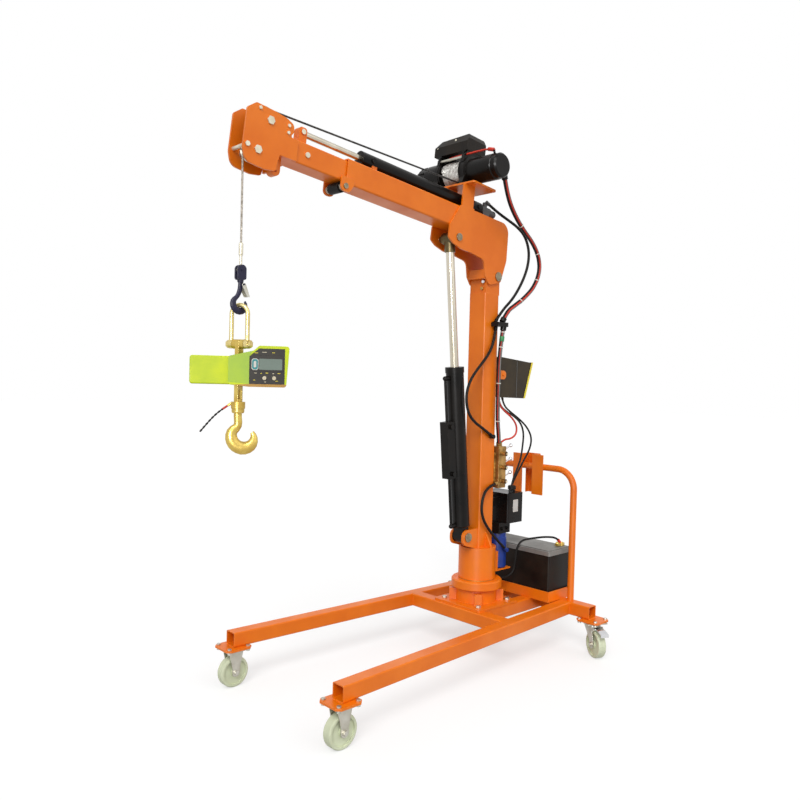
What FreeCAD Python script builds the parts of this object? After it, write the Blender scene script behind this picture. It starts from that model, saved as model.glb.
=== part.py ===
import FreeCAD, Part
import math
import os
from FreeCAD import Placement, Rotation, Vector

# Mobile floor crane on a castor frame, real size in millimetres.
# X runs forward along the boom, Y to the near leg, Z up. The slewing axis is
# the working origin, and every finished piece is moved by frame_shift at the
# end so that the frame's origin is the middle of the footprint.

# Routes of the hoses, from end to end
bundle_route = [(70, 162, 2186), (46, 160, 2120), (-10, 151, 2057), (-96, 138, 1998), (-201, 125, 1945),
                (-270, 112, 1884), (-288, 104, 1814), (-253, 98, 1738), (-184, 91, 1678), (-120, 88, 1640),
                (-74, 85, 1612), (-52, 81, 1576)]
telescope_route = [(-2, 12, 2109), (-53, 20, 2082), (-112, 40, 2051), (-153, 66, 2021), (-191, 84, 1981),
                   (-216, 90, 1921), (-220, 88, 1861), (-204, 82, 1796), (-169, 74, 1728), (-124, 67, 1668),
                   (-66, 61, 1618), (-26, 60, 1571)]
column_route = [(-51, 78, 1519), (-47, 71, 1450), (-40, 69, 1350), (-43, 67, 1250), (-40, 69, 1150),
                (-47, 66, 1080), (-66, 58, 1030), (-80, 50, 986)]
loop_route = [(-18, 60, 1519), (-8, 60, 1470), (14, 61, 1424), (50, 61, 1382), (98, 62, 1340), (150, 62, 1288),
              (178, 62, 1228), (176, 62, 1168), (152, 62, 1118), (108, 61, 1084), (54, 61, 1058), (4, 62, 1029)]
lower_route = [(-45, 59, 791), (7, 62, 781), (47, 66, 743), (58, 66, 678), (34, 66, 619), (-20, 67, 561),
               (-78, 68, 510), (-124, 66, 476)]
control_routes = [
    [(-88, 36, 1189), (-92, 38, 1162), (-122, 47, 1134), (-164, 57, 1106), (-198, 62, 1066), (-200, 59, 1022),
     (-166, 50, 1000), (-124, 43, 1000), (-98, 38, 977)],
    [(-112, 16, 1189), (-118, 20, 1160), (-152, 34, 1132), (-200, 47, 1108), (-240, 56, 1074), (-256, 62, 1024),
     (-250, 61, 960), (-240, 60, 902), (-214, 59, 850), (-184, 58, 804), (-170, 58, 754)],
    [(-170, -8, 1189), (-175, -3, 1160), (-202, 17, 1130), (-242, 39, 1098), (-287, 57, 1056), (-320, 63, 1004),
     (-314, 60, 950), (-284, 54, 904), (-258, 44, 856), (-238, 30, 804), (-226, 14, 754)]]
pigtail_route = [(30, -19, 10), (47, -30, -4), (66, -44, -24), (88, -56, -52), (110, -69, -84)]

# Shared clearances
overrun = 6.0
slip_gap = 0.4
running_fit = 0.05
wheel_gap = 3.0

# Castors and their bolted corner plates
castor_height = 160.0
wheel_radius = 62.5
wheel_width = 38.0
wheel_crown = 5.0
wheel_web_depth = 7.0
wheel_rim = 12.0
wheel_hub_radius = 17.0
axle_radius = 6.0
axle_nut_radius = 10.0
axle_nut_height = 8.0
castor_plate_half = 52.0
castor_plate_thick = 5.0
fork_sheet = 4.0
fork_foot_radius = 17.0
fork_head_half = 34.0
fork_crown_radius = 36.0
swivel_trail = 39.0
swivel_race_height = 9.0
kingpin_radius = 8.0
kingpin_nut_radius = 11.0
corner_plate_half = 59.0
corner_plate_chamfer = 16.0
corner_plate_thick = 8.0
castor_bolt_pitch_half = 43.0
castor_bolt_radius = 5.0
castor_bolt_head_radius = 8.5
castor_bolt_head = 6.0
swivel_rest_deg = 62.0
pedal_thick = 3.0
pedal_half_width = 20.0
pedal_reach = 34.0
pedal_pin_radius = 5.0
pedal_wheel_gap = 2.0
pedal_pin_ahead = 9.0

# Base frame of square tube
tube_size = 60.0
tube_wall = 4.0
tube_corner = 6.0
leg_front_x = 1126.0
leg_spread_front = 350.0
leg_spread_rear = 277.0
front_beam_x = 124.0
rear_beam_x = -361.0
rear_beam_half = 413.0
side_rail_y = 110.0
front_castor_inset = 14.0
rear_castor_y = 415.0

# Bolted pedestal
hub_plate_half = 142.0
hub_plate_corner = 12.0
hub_plate_thick = 10.0
hub_bolt_offset = 105.0
hub_bolt_radius = 8.0
hub_bolt_head_radius = 12.0
hub_bolt_head = 9.0
hub_body_radius = 97.0
hub_body_height = 62.0
hub_ring_radius = 119.0
hub_ring_height = 42.0
hub_ring_edge = 5.0
hub_rib_reach = 128.0
hub_rib_thick = 34.0
hub_rib_height = 52.0
hub_post_radius = 54.0
thrust_washer_thick = 3.2
thrust_washer_inner = 58.0
thrust_washer_outer = 86.0

# Slewing mast
sleeve_radius = 88.0
sleeve_wall = 13.0
sleeve_height = 150.0
sleeve_cap = 12.0
bush_height = 36.0
bush_inset = 8.0
column_size = 100.0
column_wall = 6.0
column_corner = 8.0
column_top = 1690.0
column_head_front = 44.0
column_head_half = 49.5
column_head_rise = 110.0
pivot_x = -28.0
pivot_z = 1770.0
pivot_pin_radius = 17.5
pivot_bush_wall = 5.0
pin_head_radius = 21.0
pin_head_thick = 6.0
mast_gusset_thick = 8.0
mast_gusset_height = 70.0
mast_gusset_slot = 9.0
foot_pin_x = 118.0
foot_pin_z = 553.0
foot_pin_radius = 15.0
foot_ear_radius = 33.0
foot_ear_inner = 30.0
foot_ear_thick = 12.0
head_bolt_radius = 7.0
head_bolt_height = 7.0

# Lift cylinder
lift_pin_s = 243.0
lift_pin_n = -93.0
barrel_radius = 41.0
barrel_bore = 35.0
barrel_length = 790.0
barrel_foot = 52.0
barrel_eye_half = 29.0
gland_height = 26.0
gland_overhang = 2.5
rod_radius = 19.0
rod_tail = 200.0
rod_eye_radius = 27.0
rod_eye_half = 30.0
rod_eye_neck = 62.0
plate_front_s = 308.0
plate_front_rake = 58.0
plate_rear_s = -93.0
plate_rear_bulge = 7.0
plate_shoulder = 50.0
strap_root_radius = 10.0
pivot_outline = [(-21, -24, 22), (60, -52, 22), (92, -14, 8), (109, 55, 30)]
lift_outline = [(-91, -49, 0), (-23, -48, 30), (32, -35, 30), (65, -16, 14)]
lift_block_low = 285.0
lift_block_high = 545.0
lift_block_half = 24.0
lift_block_depth = 46.0
lift_pipe_radius = 6.0
lift_pipe_offset = 66.0
lift_port_radius = 11.0
lift_port_low = 60.0
lift_port_high = 742.0

# Boom, drawn level and then raised about the slewing axis
boom_angle_deg = 6.1
boom_axis_z = 1982.0
outer_size = 100.0
outer_wall = 5.0
outer_corner = 7.0
outer_front = 895.0
outer_rear = -78.0
side_plate_thick = 8.0
strap_front = 242.0
strap_rear = 168.0
winch_plate_under = 153.0
tie_plate_thick = 6.0
tie_plate_height = 44.0
mouth_lug_radius = 21.0
mouth_lug_thick = 8.0
roller_radius = 21.0
roller_bore = 6.0
roller_cap = 9.0
inner_size = 84.0
inner_wall = 5.0
inner_corner = 6.0
inner_rear = 265.0
inner_front = 1150.0
pad_length = 60.0
pad_width = 50.0

# Telescope cylinder on top of the boom
tele_axis_n = 89.5
tele_barrel_radius = 29.5
tele_barrel_bore = 25.0
tele_barrel_rear = 70.0
tele_barrel_front = 805.0
tele_rod_radius = 12.5
tele_rod_tail = 400.0
tele_valve_radius = 22.0
tele_valve_length = 112.0
valve_port_s = 27.0
valve_port_height = 42.0
tele_bracket_rear = 1077.0
tele_bracket_length = 36.0
tele_bracket_half = 17.0
tele_bolt_radius = 10.0
tele_saddle_length = 26.0

# Boom head with its two sheaves
head_plate_thick = 8.0
head_rear = 1133.0
head_crown_outline = [(-88, -30, 6), (-101, -10, 10), (-100, 18, 18), (-68, 31, 12), (-21, 38, 30), (64, 42, 14),
                     (98, 14, 14)]
head_belly_outline = [(61, -6, 40), (47, -54, 36), (-35, -60, 50), (-79, -52, 10)]
head_web_front = 1206.0
head_brace_thick = 8.0
head_brace_low = -96.0
upper_sheave_s = 1258.0
upper_sheave_n = 66.0
upper_sheave_pitch = 56.0
lower_sheave_s = 1297.0
lower_sheave_n = -52.0
lower_sheave_pitch = 30.0
sheave_width = 24.0
sheave_lip = 5.0
sheave_bore = 12.5
sheave_spacer_radius = 20.0
rope_radius = 4.0
head_lug_s = 1197.0
head_lug_n = -87.0
head_lug_radius = 21.0
head_lug_bore = 8.0
head_lug_half = 15.0
head_bolt_places = [(1306.0, 94.0), (1181.0, 74.0), (1181.0, 48.0)]
guard_s = 1355.0
guard_n = -46.0
guard_radius = 7.0
guard_spike = 36.0
cap_bolt_radius = 6.0
cap_bolt_height = 5.0

# Winch
winch_axis_s = 153.0
winch_axis_n = 237.0
winch_plate_thick = 8.0
winch_plate_half_y = 105.0
winch_plate_half_s = 79.0
drum_low_y = -136.0
drum_high_y = -2.0
drum_core_radius = 54.0
drum_flange_radius = 72.0
drum_flange_thick = 7.0
wrap_turns = 11.75

# winch details
winch_plate_corner = 10
foot_waist_share = 0.8
body_lip = 6
gearbox_nose = 10
gearbox_nose_end = 52
gearbox_taper_end = 60
gearbox_rim_length = 20
gearbox_rim_ramp = 22
gearbox_foot_thick = 30
gearbox_ribs = 10
gearbox_rib_half = 3
gearbox_rib_start = 12
gearbox_rib_end = 50
gearbox_rib_sunk = 4
gearbox_rib_proud = 10
motor_collar_lip = 12
motor_collar_length = 22
motor_collar_ramp = 26
motor_cap_lip = 3
motor_cap_ramp = 34
motor_cap_start = 30
motor_cap_edge = 8
motor_cap_round = 10
motor_foot_thick = 26
motor_stud_turns_deg = (-30, 30)
motor_stud_back = 30
motor_stud_sunk = 8
motor_stud_radius = 5
motor_stud_length = 22
tie_bar_turn_deg = 42
end_lug_thick = 16
end_lug_half = 66
end_lug_rise = 30
end_lug_shoulder = 62
end_lug_drop = 24
end_lug_top = 40
end_lug_corner = 8
solenoid_corner = 4
solenoid_front_cut_share = 0.6
solenoid_rear_cut_share = 0.3
solenoid_side_cut_share = 1.6
solenoid_slope_run = 24
solenoid_slope_drop = 44
solenoid_slope_over = 2
clutch_knob_height = 14
clutch_knob_edge = 4
clutch_arm_half = 6
clutch_arm_thick = 10
tele_post_corner = 12

# ferrule and shackle details
ferrule_lip_share = 0.8
ferrule_top_share = 0.7
ferrule_edge = 4
rope_neck_share = 1.3
rope_eye_radius = 13
rope_eye_width = 9
rope_eye_hole = 6
rope_eye_through = 40
shackle_eye_radius = 16
shackle_eye_length = 15
shackle_pin_over = 22
shackle_head_radius = 14
shackle_head_height = 8
frame_corner = 6
frame_top_corner_share = 0.9

# power unit and battery details
terminal_top_share = 0.85
clamp_bore_share = 0.7
clamp_rise = 3
clamp_tongue_length = 44
clamp_tongue_half = 9
clamp_bolt_reach = 34
clamp_bolt_radius = 8
clamp_bolt_height = 6
shelf_flange_height = 96
shelf_bolt_inset = 12
shelf_bolt_rises = (24, 80)
motor_foot_share = 0.86
motor_lid_share = 0.94
motor_foot_edge = 8
motor_lid_step = 2
port_radius = 8
port_length = 10
port_rise = 22
port_shifts = (-20, 18)
tank_strap_half = 30
tank_strap_low = 60
tank_strap_high = 20
tank_neck_inset = 34
tank_neck_y = 40
cap_lip = 4
cap_height = 18
cap_edge_height = 14
cap_edge = 3
valve_mount_inset = 30
spool_tip_share = 0.6
spool_tip_length = 6
lever_slot_half = 7
lever_slot_over = 8
lever_pin_radius = 4
lever_pin_length = 16
lever_inset_y = 22
lever_boss_share = 0.5
lever_boss_length = 12
lever_lean = (-0.94, 0, 0.34)
lever_ball_share = 2.4
hexagon_sides = 6
roller_lug_corner = 8
head_rear_corner_share = 0.85
head_rear_corner = 6
gearbox_low_y = -290.0
gearbox_radius = 68.0
gearbox_step_radius = 58.0
motor_high_y = 195.0
motor_radius = 58.0
winch_foot_half = 70.0
winch_foot_thick = 12.0
tie_bar_radius = 6.0
tie_bar_reach = 62.0
solenoid_low_y = -190.0
solenoid_high_y = 15.0
solenoid_low_n = 326.0
solenoid_high_n = 412.0
solenoid_front_s = 203.0
solenoid_rear_s = 75.0
solenoid_chamfer = 26.0
clutch_radius = 24.0
clutch_arm = 34.0

# Hoist rope, hooks and load scale
fall_top_drop = 2.0
ferrule_top_z = 1745.0
ferrule_bottom_z = 1700.0
ferrule_radius = 8.0
hook_turn_deg = -2.0
hook_eye_z = 1650.0
hook_bowl_z = 1533.0
hook_bowl_radius = 16.0
hook_bar_radius = 13.0
hook_bowl_offset = 0.0
hook_latch_z = 1598.0
hook_neck_drop = 36.0
hook_clevis_half = 17.0
latch_pin_radius = 3.0
latch_half = 13.0
latch_sheet = 2.0
latch_back = 6.0
latch_reach = 27.0
latch_low_z = 1556.0
hook_prong_gap = 5.5
hook_prong_thick = 7.0
shackle_turn_deg = -62.0
shackle_bar_radius = 8.0
shackle_inner_radius = 24.0
shackle_pin_z = 1388.0
shackle_pin_radius = 9.0
frame_top_z = 1405.0
frame_bottom_z = 1160.0
frame_bar_half = 17.0
frame_bar_depth = 15.0
scale_arm_low_z = 1245.0
scale_arm_high_z = 1345.0
scale_arm_reach = 168.0
scale_arm_depth = 34.0
scale_head_reach = 176.0
scale_head_low_z = 1238.0
scale_head_high_z = 1384.0
scale_head_depth = 50.0
scale_shoulder = 36.0
scale_neck_rear = 50.0
scale_neck_z = 1366.0
scale_corner = 10.0
scale_panel_depth = 4.0
scale_window_low = 62.0
scale_window_high = 112.0
scale_button_rise = 32.0
scale_button_pitch = 34.0
scale_button_radius = 7.0
scale_button_travel = 1.5
load_hook_turn_deg = -32.0
frame_socket_radius = 25.0
frame_socket_height = 24.0
swivel_neck_radius = 9.0
swivel_nut_radius = 14.0
swivel_nut_height = 9.0
swivel_collar_height = 16.0
load_bowl_z = 1066.0
load_bowl_radius = 23.0
load_bar_radius = 24.0
load_bowl_offset = 22.0

# Push handle and the folded guard hung on it
handle_radius = 16.0
handle_wall = 2.5
handle_half = 290.0
handle_top = 856.0
handle_bend = 92.0
guard_front_x = -338.0
guard_depth = 66.0
guard_sheet = 3.0
guard_bottom_z = 718.0
guard_height = 200.0
guard_left_y = -62.0
guard_fold_a_y = -8.0
guard_fold_b_y = 57.0
guard_right_y = 123.0

# Battery and tray
tray_front_x = -240.0
tray_rear_x = -449.0
tray_half = 247.0
tray_angle = 50.0
tray_sheet = 4.0
battery_gap = 1.0
battery_height = 240.0
battery_lid = 24.0
battery_rim = 4.0
terminal_radius = 9.0
terminal_height = 18.0
terminal_y = 195.0
terminal_inset = 38.0
clamp_height = 12.0
clamp_radius = 16.0

# Hydraulic power unit behind the mast
shelf_z = 366.0
shelf_thick = 6.0
shelf_reach = 192.0
shelf_half = 52.0
motor_x = -140.0
motor_y = 8.0
motor_unit_radius = 44.0
motor_unit_height = 150.0
motor_cap_height = 22.0
pump_block_half = 42.0
pump_block_height = 34.0
tank_front_x = -118.0
tank_rear_x = -236.0
tank_half = 84.0
tank_low_z = 596.0
tank_high_z = 740.0
tank_corner = 8.0
tank_neck_radius = 16.0
tank_neck_height = 12.0
valve_low_z = 770.0
valve_high_z = 968.0
valve_front_x = -62.0
valve_rear_x = -116.0
valve_low_y = 6.0
valve_high_y = 66.0
spool_count = 3
spool_radius = 11.0
spool_length = 24.0
lever_radius = 4.0
lever_length = 92.0
lever_swing_deg = 18.0
lever_boss_radius = 8.0

# Operator's box on the column
box_front_x = -66.0
box_front_top_z = 1397.0
box_front_low_z = 1203.0
box_rear_top_x = -328.0
box_rear_top_z = 1375.0
box_rear_low_x = -272.0
box_rear_low_z = 1200.0
box_low_y = -84.0
box_high_y = 50.0
box_corner = 7.0
box_lid = 13.0
box_lid_lip = 2.0
box_arm_z = 1310.0
box_arm_radius = 21.0
box_arm_reach = 112.0
box_arm_thick = 6.0

# Hoses and cables, by outside radius
bundle_radius = 11.0
hose_radius = 6.5
lead_radius = 4.5
signal_radius = 3.0
cable_radius = 4.5
pigtail_radius = 3.5
gland_length = 20.0
gland_share = 1.3
clip_rear_x = -70.0
clip_front_x = 4.0
clip_high_y = 94.0
clip_low_z = 1536.0
clip_high_z = 1556.0
loop_elbow_x = -16.0
loop_elbow_z = 1018.0
elbow_radius = 10.0
elbow_reach = 22.0

# Values that follow from the ones above
leg_rear_x = rear_beam_x + tube_size / 2
frame_low = castor_height + corner_plate_thick
frame_top = frame_low + tube_size
front_castor_x = leg_front_x - front_castor_inset
hub_top = frame_top + hub_plate_thick
ring_top = hub_top + hub_body_height + hub_ring_height
sleeve_low = ring_top + thrust_washer_thick + slip_gap
sleeve_top = sleeve_low + sleeve_height
boom_angle = math.radians(boom_angle_deg)
plate_inner_y = outer_size / 2
plate_outer_y = plate_inner_y + side_plate_thick
wrap_pitch_radius = drum_core_radius + rope_radius + running_fit


def level_point(s, y, n):
    """A point of the boom's own frame in the crane's frame."""
    return Vector(s * math.cos(boom_angle) - n * math.sin(boom_angle), y,
                  boom_axis_z + s * math.sin(boom_angle) + n * math.cos(boom_angle))


lift_head_point = level_point(lift_pin_s, 0, lift_pin_n)
upper_sheave_point = level_point(upper_sheave_s, 0, upper_sheave_n)
lower_sheave_point = level_point(lower_sheave_s, 0, lower_sheave_n)
fall_x = lower_sheave_point.x + lower_sheave_pitch
scale_turn = math.radians(-load_hook_turn_deg)
arm_round = scale_corner / 2
front_reach = fall_x + arm_round + (scale_arm_reach - arm_round) * math.cos(scale_turn)
front_reach += (scale_arm_depth / 2 - arm_round) * math.sin(scale_turn)
hook_section_shares = [(50, 0.62), (20, 0.78), (-10, 0.9), (-45, 0.98), (-85, 1.0), (-120, 0.9), (-150, 0.68),
                       (-178, 0.46), (-200, 0.3)]
hook_flat_share = 0.72
hook_ring_points = 12
hook_rings = 22
frame_shift = Vector(-(front_reach + tray_rear_x) / 2, 0, 0)

x_axis = Vector(1, 0, 0)
y_axis = Vector(0, 1, 0)
z_axis = Vector(0, 0, 1)


# Small building operations
def box(x_low, x_high, y_low, y_high, z_low, z_high):
    corner = Vector(x_low, y_low, z_low)
    return Part.makeBox(x_high - x_low, y_high - y_low, z_high - z_low, corner)


def bar(centre, axis, radius, length):
    """A round bar with its middle at centre."""
    start = centre - axis * (length / 2)
    return Part.makeCylinder(radius, length, start, axis)


def stub(start, axis, radius, length):
    return Part.makeCylinder(radius, length, start, axis)


def washer(start, axis, outer, inner, length):
    ring = stub(start, axis, outer, length)
    hole = stub(start - axis * overrun, axis, inner, length + 2 * overrun)
    return ring.cut(hole)


def hexagon(start, axis, radius, height):
    """A hexagonal head or nut, radius over its corners."""
    points = []
    for k in range(hexagon_sides + 1):
        angle = math.radians(360 / hexagon_sides * k)
        points.append(Vector(radius * math.cos(angle), radius * math.sin(angle), 0))
    prism = Part.Face(Part.makePolygon(points)).extrude(Vector(0, 0, height))
    prism.Placement = Placement(start, Rotation(z_axis, axis))
    return prism


def rounded_wire(corners, to_point):
    """A closed outline whose corners are (a, b, radius)."""
    edges = []
    last = None
    first = None
    count = len(corners)
    for k in range(count):
        a0 = Vector(corners[k - 1][0], corners[k - 1][1], 0)
        a1 = Vector(corners[k][0], corners[k][1], 0)
        a2 = Vector(corners[(k + 1) % count][0], corners[(k + 1) % count][1], 0)
        radius = corners[k][2]
        back = (a0 - a1).normalize()
        ahead = (a2 - a1).normalize()
        if radius == 0:
            start = end = a1
            middle = None
        else:
            half = back.getAngle(ahead) / 2
            reach = radius / math.tan(half)
            start = a1 + back * reach
            end = a1 + ahead * reach
            inward = (back + ahead).normalize()
            middle = a1 + inward * (radius / math.sin(half) - radius)
        if last is not None:
            edges.append(Part.makeLine(to_point(last), to_point(start)))
        else:
            first = start
        if middle is not None:
            edges.append(Part.Arc(to_point(start), to_point(middle), to_point(end)).toShape())
        last = end
    edges.append(Part.makeLine(to_point(last), to_point(first)))
    return Part.Wire(edges)


def plate_xz(corners, y_low, y_high):
    """A plate standing in the XZ plane between two Y values."""
    wire = rounded_wire(corners, lambda v: Vector(v.x, y_low, v.y))
    return Part.Face(wire).extrude(Vector(0, y_high - y_low, 0))


def plate_yz(corners, x_low, x_high):
    wire = rounded_wire(corners, lambda v: Vector(x_low, v.x, v.y))
    return Part.Face(wire).extrude(Vector(x_high - x_low, 0, 0))


def plate_xy(corners, z_low, z_high):
    wire = rounded_wire(corners, lambda v: Vector(v.x, v.y, z_low))
    return Part.Face(wire).extrude(Vector(0, 0, z_high - z_low))


def turned(profile, start, axis):
    """A solid of revolution; profile points are (radius, height)."""
    points = [Vector(r, 0, h) for r, h in profile]
    points.append(points[0])
    face = Part.Face(Part.makePolygon(points))
    solid = face.revolve(Vector(0, 0, 0), z_axis, 360)
    solid.Placement = Placement(start, Rotation(z_axis, axis))
    return solid


def square_section(half_a, half_b, corner):
    return [(-half_a, -half_b, corner), (half_a, -half_b, corner),
            (half_a, half_b, corner), (-half_a, half_b, corner)]


def square_bar_x(x_low, x_high, size, corner):
    half = size / 2
    return plate_yz(square_section(half, half, corner), x_low, x_high)


def square_tube_x(x_low, x_high, size, wall, corner):
    outer = square_bar_x(x_low, x_high, size, corner)
    inner = square_bar_x(x_low - overrun, x_high + overrun, size - 2 * wall, corner - wall / 2)
    return outer.cut(inner)


def joined(pieces):
    result = pieces[0]
    for piece in pieces[1:]:
        result = result.fuse(piece)
    return result.removeSplitter()


def without(shape, cutters):
    for cutter in cutters:
        shape = shape.cut(cutter)
    return shape


def mirrored_y(shape):
    return shape.mirror(Vector(0, 0, 0), y_axis)


def moved(shape, offset):
    copy = shape.copy()
    copy.translate(offset)
    return copy


def turned_about(shape, centre, axis, degrees):
    copy = shape.copy()
    copy.rotate(centre, axis, degrees)
    return copy


def on_boom(shape):
    """Raise a piece drawn in the level boom frame to the boom's angle."""
    lift = Placement(Vector(0, 0, boom_axis_z), Rotation(y_axis, -boom_angle_deg))
    copy = shape.copy()
    copy.Placement = lift.multiply(copy.Placement)
    return copy


def group(shapes):
    return Part.makeCompound(shapes)


# Tubes along routes
def arc_radius(route, k):
    """The largest bend at point k: 0.45 of the shorter run over the half turn's tangent."""
    before = route[k] - route[k - 1]
    after = route[k + 1] - route[k]
    half_turn = before.getAngle(after) / 2
    return 0.45 * min(before.Length, after.Length) / math.tan(half_turn)


def route_wire(route):
    edges = []
    last = route[0]
    for k in range(1, len(route) - 1):
        into = (route[k] - route[k - 1]).normalize()
        out = (route[k + 1] - route[k]).normalize()
        radius = arc_radius(route, k)
        half_turn = into.getAngle(out) / 2
        reach = radius * math.tan(half_turn)
        start = route[k] - into * reach
        end = route[k] + out * reach
        inward = (out - into).normalize()
        middle = route[k] + inward * (radius / math.cos(half_turn) - radius)
        edges.append(Part.LineSegment(last, start).toShape())
        edges.append(Part.Arc(start, middle, end).toShape())
        last = end
    edges.append(Part.LineSegment(last, route[-1]).toShape())
    return Part.Wire(edges)


def hose(name, points, radius):
    """A round hose along runs joined by tangent arcs; prints its bends."""
    route = [Vector(*p) for p in points]
    wire = route_wire(route)
    heading = (route[1] - route[0]).normalize()
    circle = Part.Wire(Part.Circle(route[0], heading, radius).toShape())
    shell = Part.BRepOffsetAPI.MakePipeShell(wire)
    shell.add(circle)
    shell.build()
    shell.makeSolid()
    solid = shell.shape()
    ideal = math.pi * radius ** 2 * wire.Length
    bends = [round(arc_radius(route, k)) for k in range(1, len(route) - 1)]
    print(name, "length", round(wire.Length), "bends", bends, "volume share", round(solid.Volume / ideal, 4))
    return solid


def arc_from(start, heading, end):
    """The arc that leaves start along heading and reaches end."""
    chord = end - start
    along = Vector(chord).normalize()
    side = heading - along * heading.dot(along)
    half = heading.getAngle(chord)
    middle = start + chord * 0.5
    if side.Length > 0:
        middle = middle + Vector(side).normalize() * (chord.Length / 2 * math.tan(half / 2))
    return Part.Arc(start, middle, end).toShape()


def biarc(start, start_heading, end, end_heading):
    span = end - start
    total = start_heading + end_heading
    spread = 2 * (1 - start_heading.dot(end_heading))
    reach = (-span.dot(total) + math.sqrt(span.dot(total) ** 2 + spread * span.dot(span))) / spread
    meet = (start + end + (start_heading - end_heading) * reach) * 0.5
    first = arc_from(start, start_heading, meet)
    second = arc_from(end, end_heading * -1, meet)
    return [first, Part.Arc(meet, second.valueAt((second.FirstParameter + second.LastParameter) / 2), end).toShape()]


def winding(axis_point, radius, low, high, turns, wire_radius):
    """One unbroken tube wound on a drum whose axis runs along Y."""
    steps = int(turns * 4)
    pitch = (high - low) / turns
    climb = math.atan2(pitch, 2 * math.pi * radius)

    def place(k):
        angle = math.pi / 2 * k
        return axis_point + Vector(radius * math.cos(angle), low + pitch * k / 4, radius * math.sin(angle))

    def heading(k):
        angle = math.pi / 2 * k
        flat = Vector(-math.sin(angle), 0, math.cos(angle))
        return flat * math.cos(climb) + y_axis * math.sin(climb)

    edges = []
    for k in range(steps):
        edges += biarc(place(k), heading(k), place(k + 1), heading(k + 1))
    lead_in = place(0) - heading(0) * (2 * wire_radius)
    lead_out = place(steps) + heading(steps) * (2 * wire_radius)
    edges.insert(0, Part.makeLine(lead_in, place(0)))
    edges.append(Part.makeLine(place(steps), lead_out))
    wire = Part.Wire(edges)
    shell = Part.BRepOffsetAPI.MakePipeShell(wire)
    shell.add(Part.Wire(Part.Circle(lead_in, heading(0), wire_radius).toShape()))
    shell.build()
    shell.makeSolid()
    print("winding turns", turns, "least gap to itself", round(pitch * math.cos(climb) - 2 * wire_radius, 2))
    return shell.shape()


# Castors
def fork_cheek(axle_x, y_low, y_high, head_z):
    """One tapered side sheet of a castor fork."""
    outline = [(axle_x - fork_foot_radius, wheel_radius - fork_foot_radius, fork_foot_radius * 0.98),
               (axle_x + fork_foot_radius, wheel_radius - fork_foot_radius, fork_foot_radius * 0.98),
               (axle_x + fork_foot_radius, wheel_radius + fork_foot_radius, 0),
               (fork_head_half, head_z, 0),
               (-fork_head_half, head_z, 0),
               (axle_x - fork_foot_radius, wheel_radius + fork_foot_radius, 0)]
    return plate_xz(outline, y_low, y_high)


fork_inner_y = wheel_width / 2 + wheel_gap
fork_outer_y = fork_inner_y + fork_sheet


def fork_pair(axle_x, head_z):
    cheek = fork_cheek(axle_x, fork_inner_y, fork_outer_y, head_z)
    return [cheek, mirrored_y(cheek)]


def castor_plate():
    corners = square_section(castor_plate_half, castor_plate_half, castor_plate_thick)
    plate = plate_xy(corners, castor_height - castor_plate_thick, castor_height)
    return without(plate, castor_bolt_holes(castor_height))


def castor_bolt_places():
    reach = castor_bolt_pitch_half
    return [Vector(a * reach, b * reach, 0) for a in (-1, 1) for b in (-1, 1)]


def castor_bolt_holes(z):
    holes = []
    for place in castor_bolt_places():
        holes.append(bar(place + z_axis * z, z_axis, castor_bolt_radius, 4 * corner_plate_thick))
    return holes


def rigid_fork():
    head_z = castor_height - castor_plate_thick
    hole = bar(Vector(0, 0, wheel_radius), y_axis, axle_radius, 2 * fork_outer_y + overrun)
    return joined([castor_plate()] + fork_pair(0, head_z)).cut(hole)


def wheel(axle_x):
    """A solid nylon wheel with a crowned tread and a recessed web each side."""
    half = wheel_width / 2
    inner_rim = wheel_radius - wheel_rim
    web = half - wheel_web_depth
    side = [(axle_radius + running_fit, half + wheel_gap / 2), (wheel_hub_radius, half + wheel_gap / 2),
            (wheel_hub_radius, web), (inner_rim, web), (inner_rim, half), (wheel_radius - wheel_crown, half),
            (wheel_radius - wheel_crown * 0.3, half - wheel_crown * 0.35), (wheel_radius, half - wheel_crown)]
    profile = side + [(r, -h) for r, h in reversed(side)]
    return turned(profile, Vector(axle_x, 0, wheel_radius), y_axis)


def axle_bolt(axle_x):
    centre = Vector(axle_x, 0, wheel_radius)
    length = 2 * fork_outer_y
    shaft = bar(centre, y_axis, axle_radius, length)
    head = hexagon(centre + y_axis * fork_outer_y, y_axis, axle_nut_radius, axle_nut_height)
    nut = hexagon(centre - y_axis * (fork_outer_y + axle_nut_height), y_axis, axle_nut_radius, axle_nut_height)
    return joined([shaft, head, nut])


swivel_crown_top = castor_height - castor_plate_thick - slip_gap
swivel_crown_low = swivel_crown_top - swivel_race_height


def swivel_head():
    """Bolted top plate with the kingpin and its nut."""
    low = swivel_crown_low - slip_gap - kingpin_nut_radius * 0.6
    pin = stub(Vector(0, 0, low), z_axis, kingpin_radius, castor_height - castor_plate_thick - low)
    nut = hexagon(Vector(0, 0, low), z_axis, kingpin_nut_radius, kingpin_nut_radius * 0.6)
    return joined([castor_plate(), pin, nut])


def pedal_pin_place():
    rise = pedal_pin_radius + pedal_thick + pedal_wheel_gap
    return Vector(swivel_trail + pedal_pin_ahead, 0, 2 * wheel_radius + rise)


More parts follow.
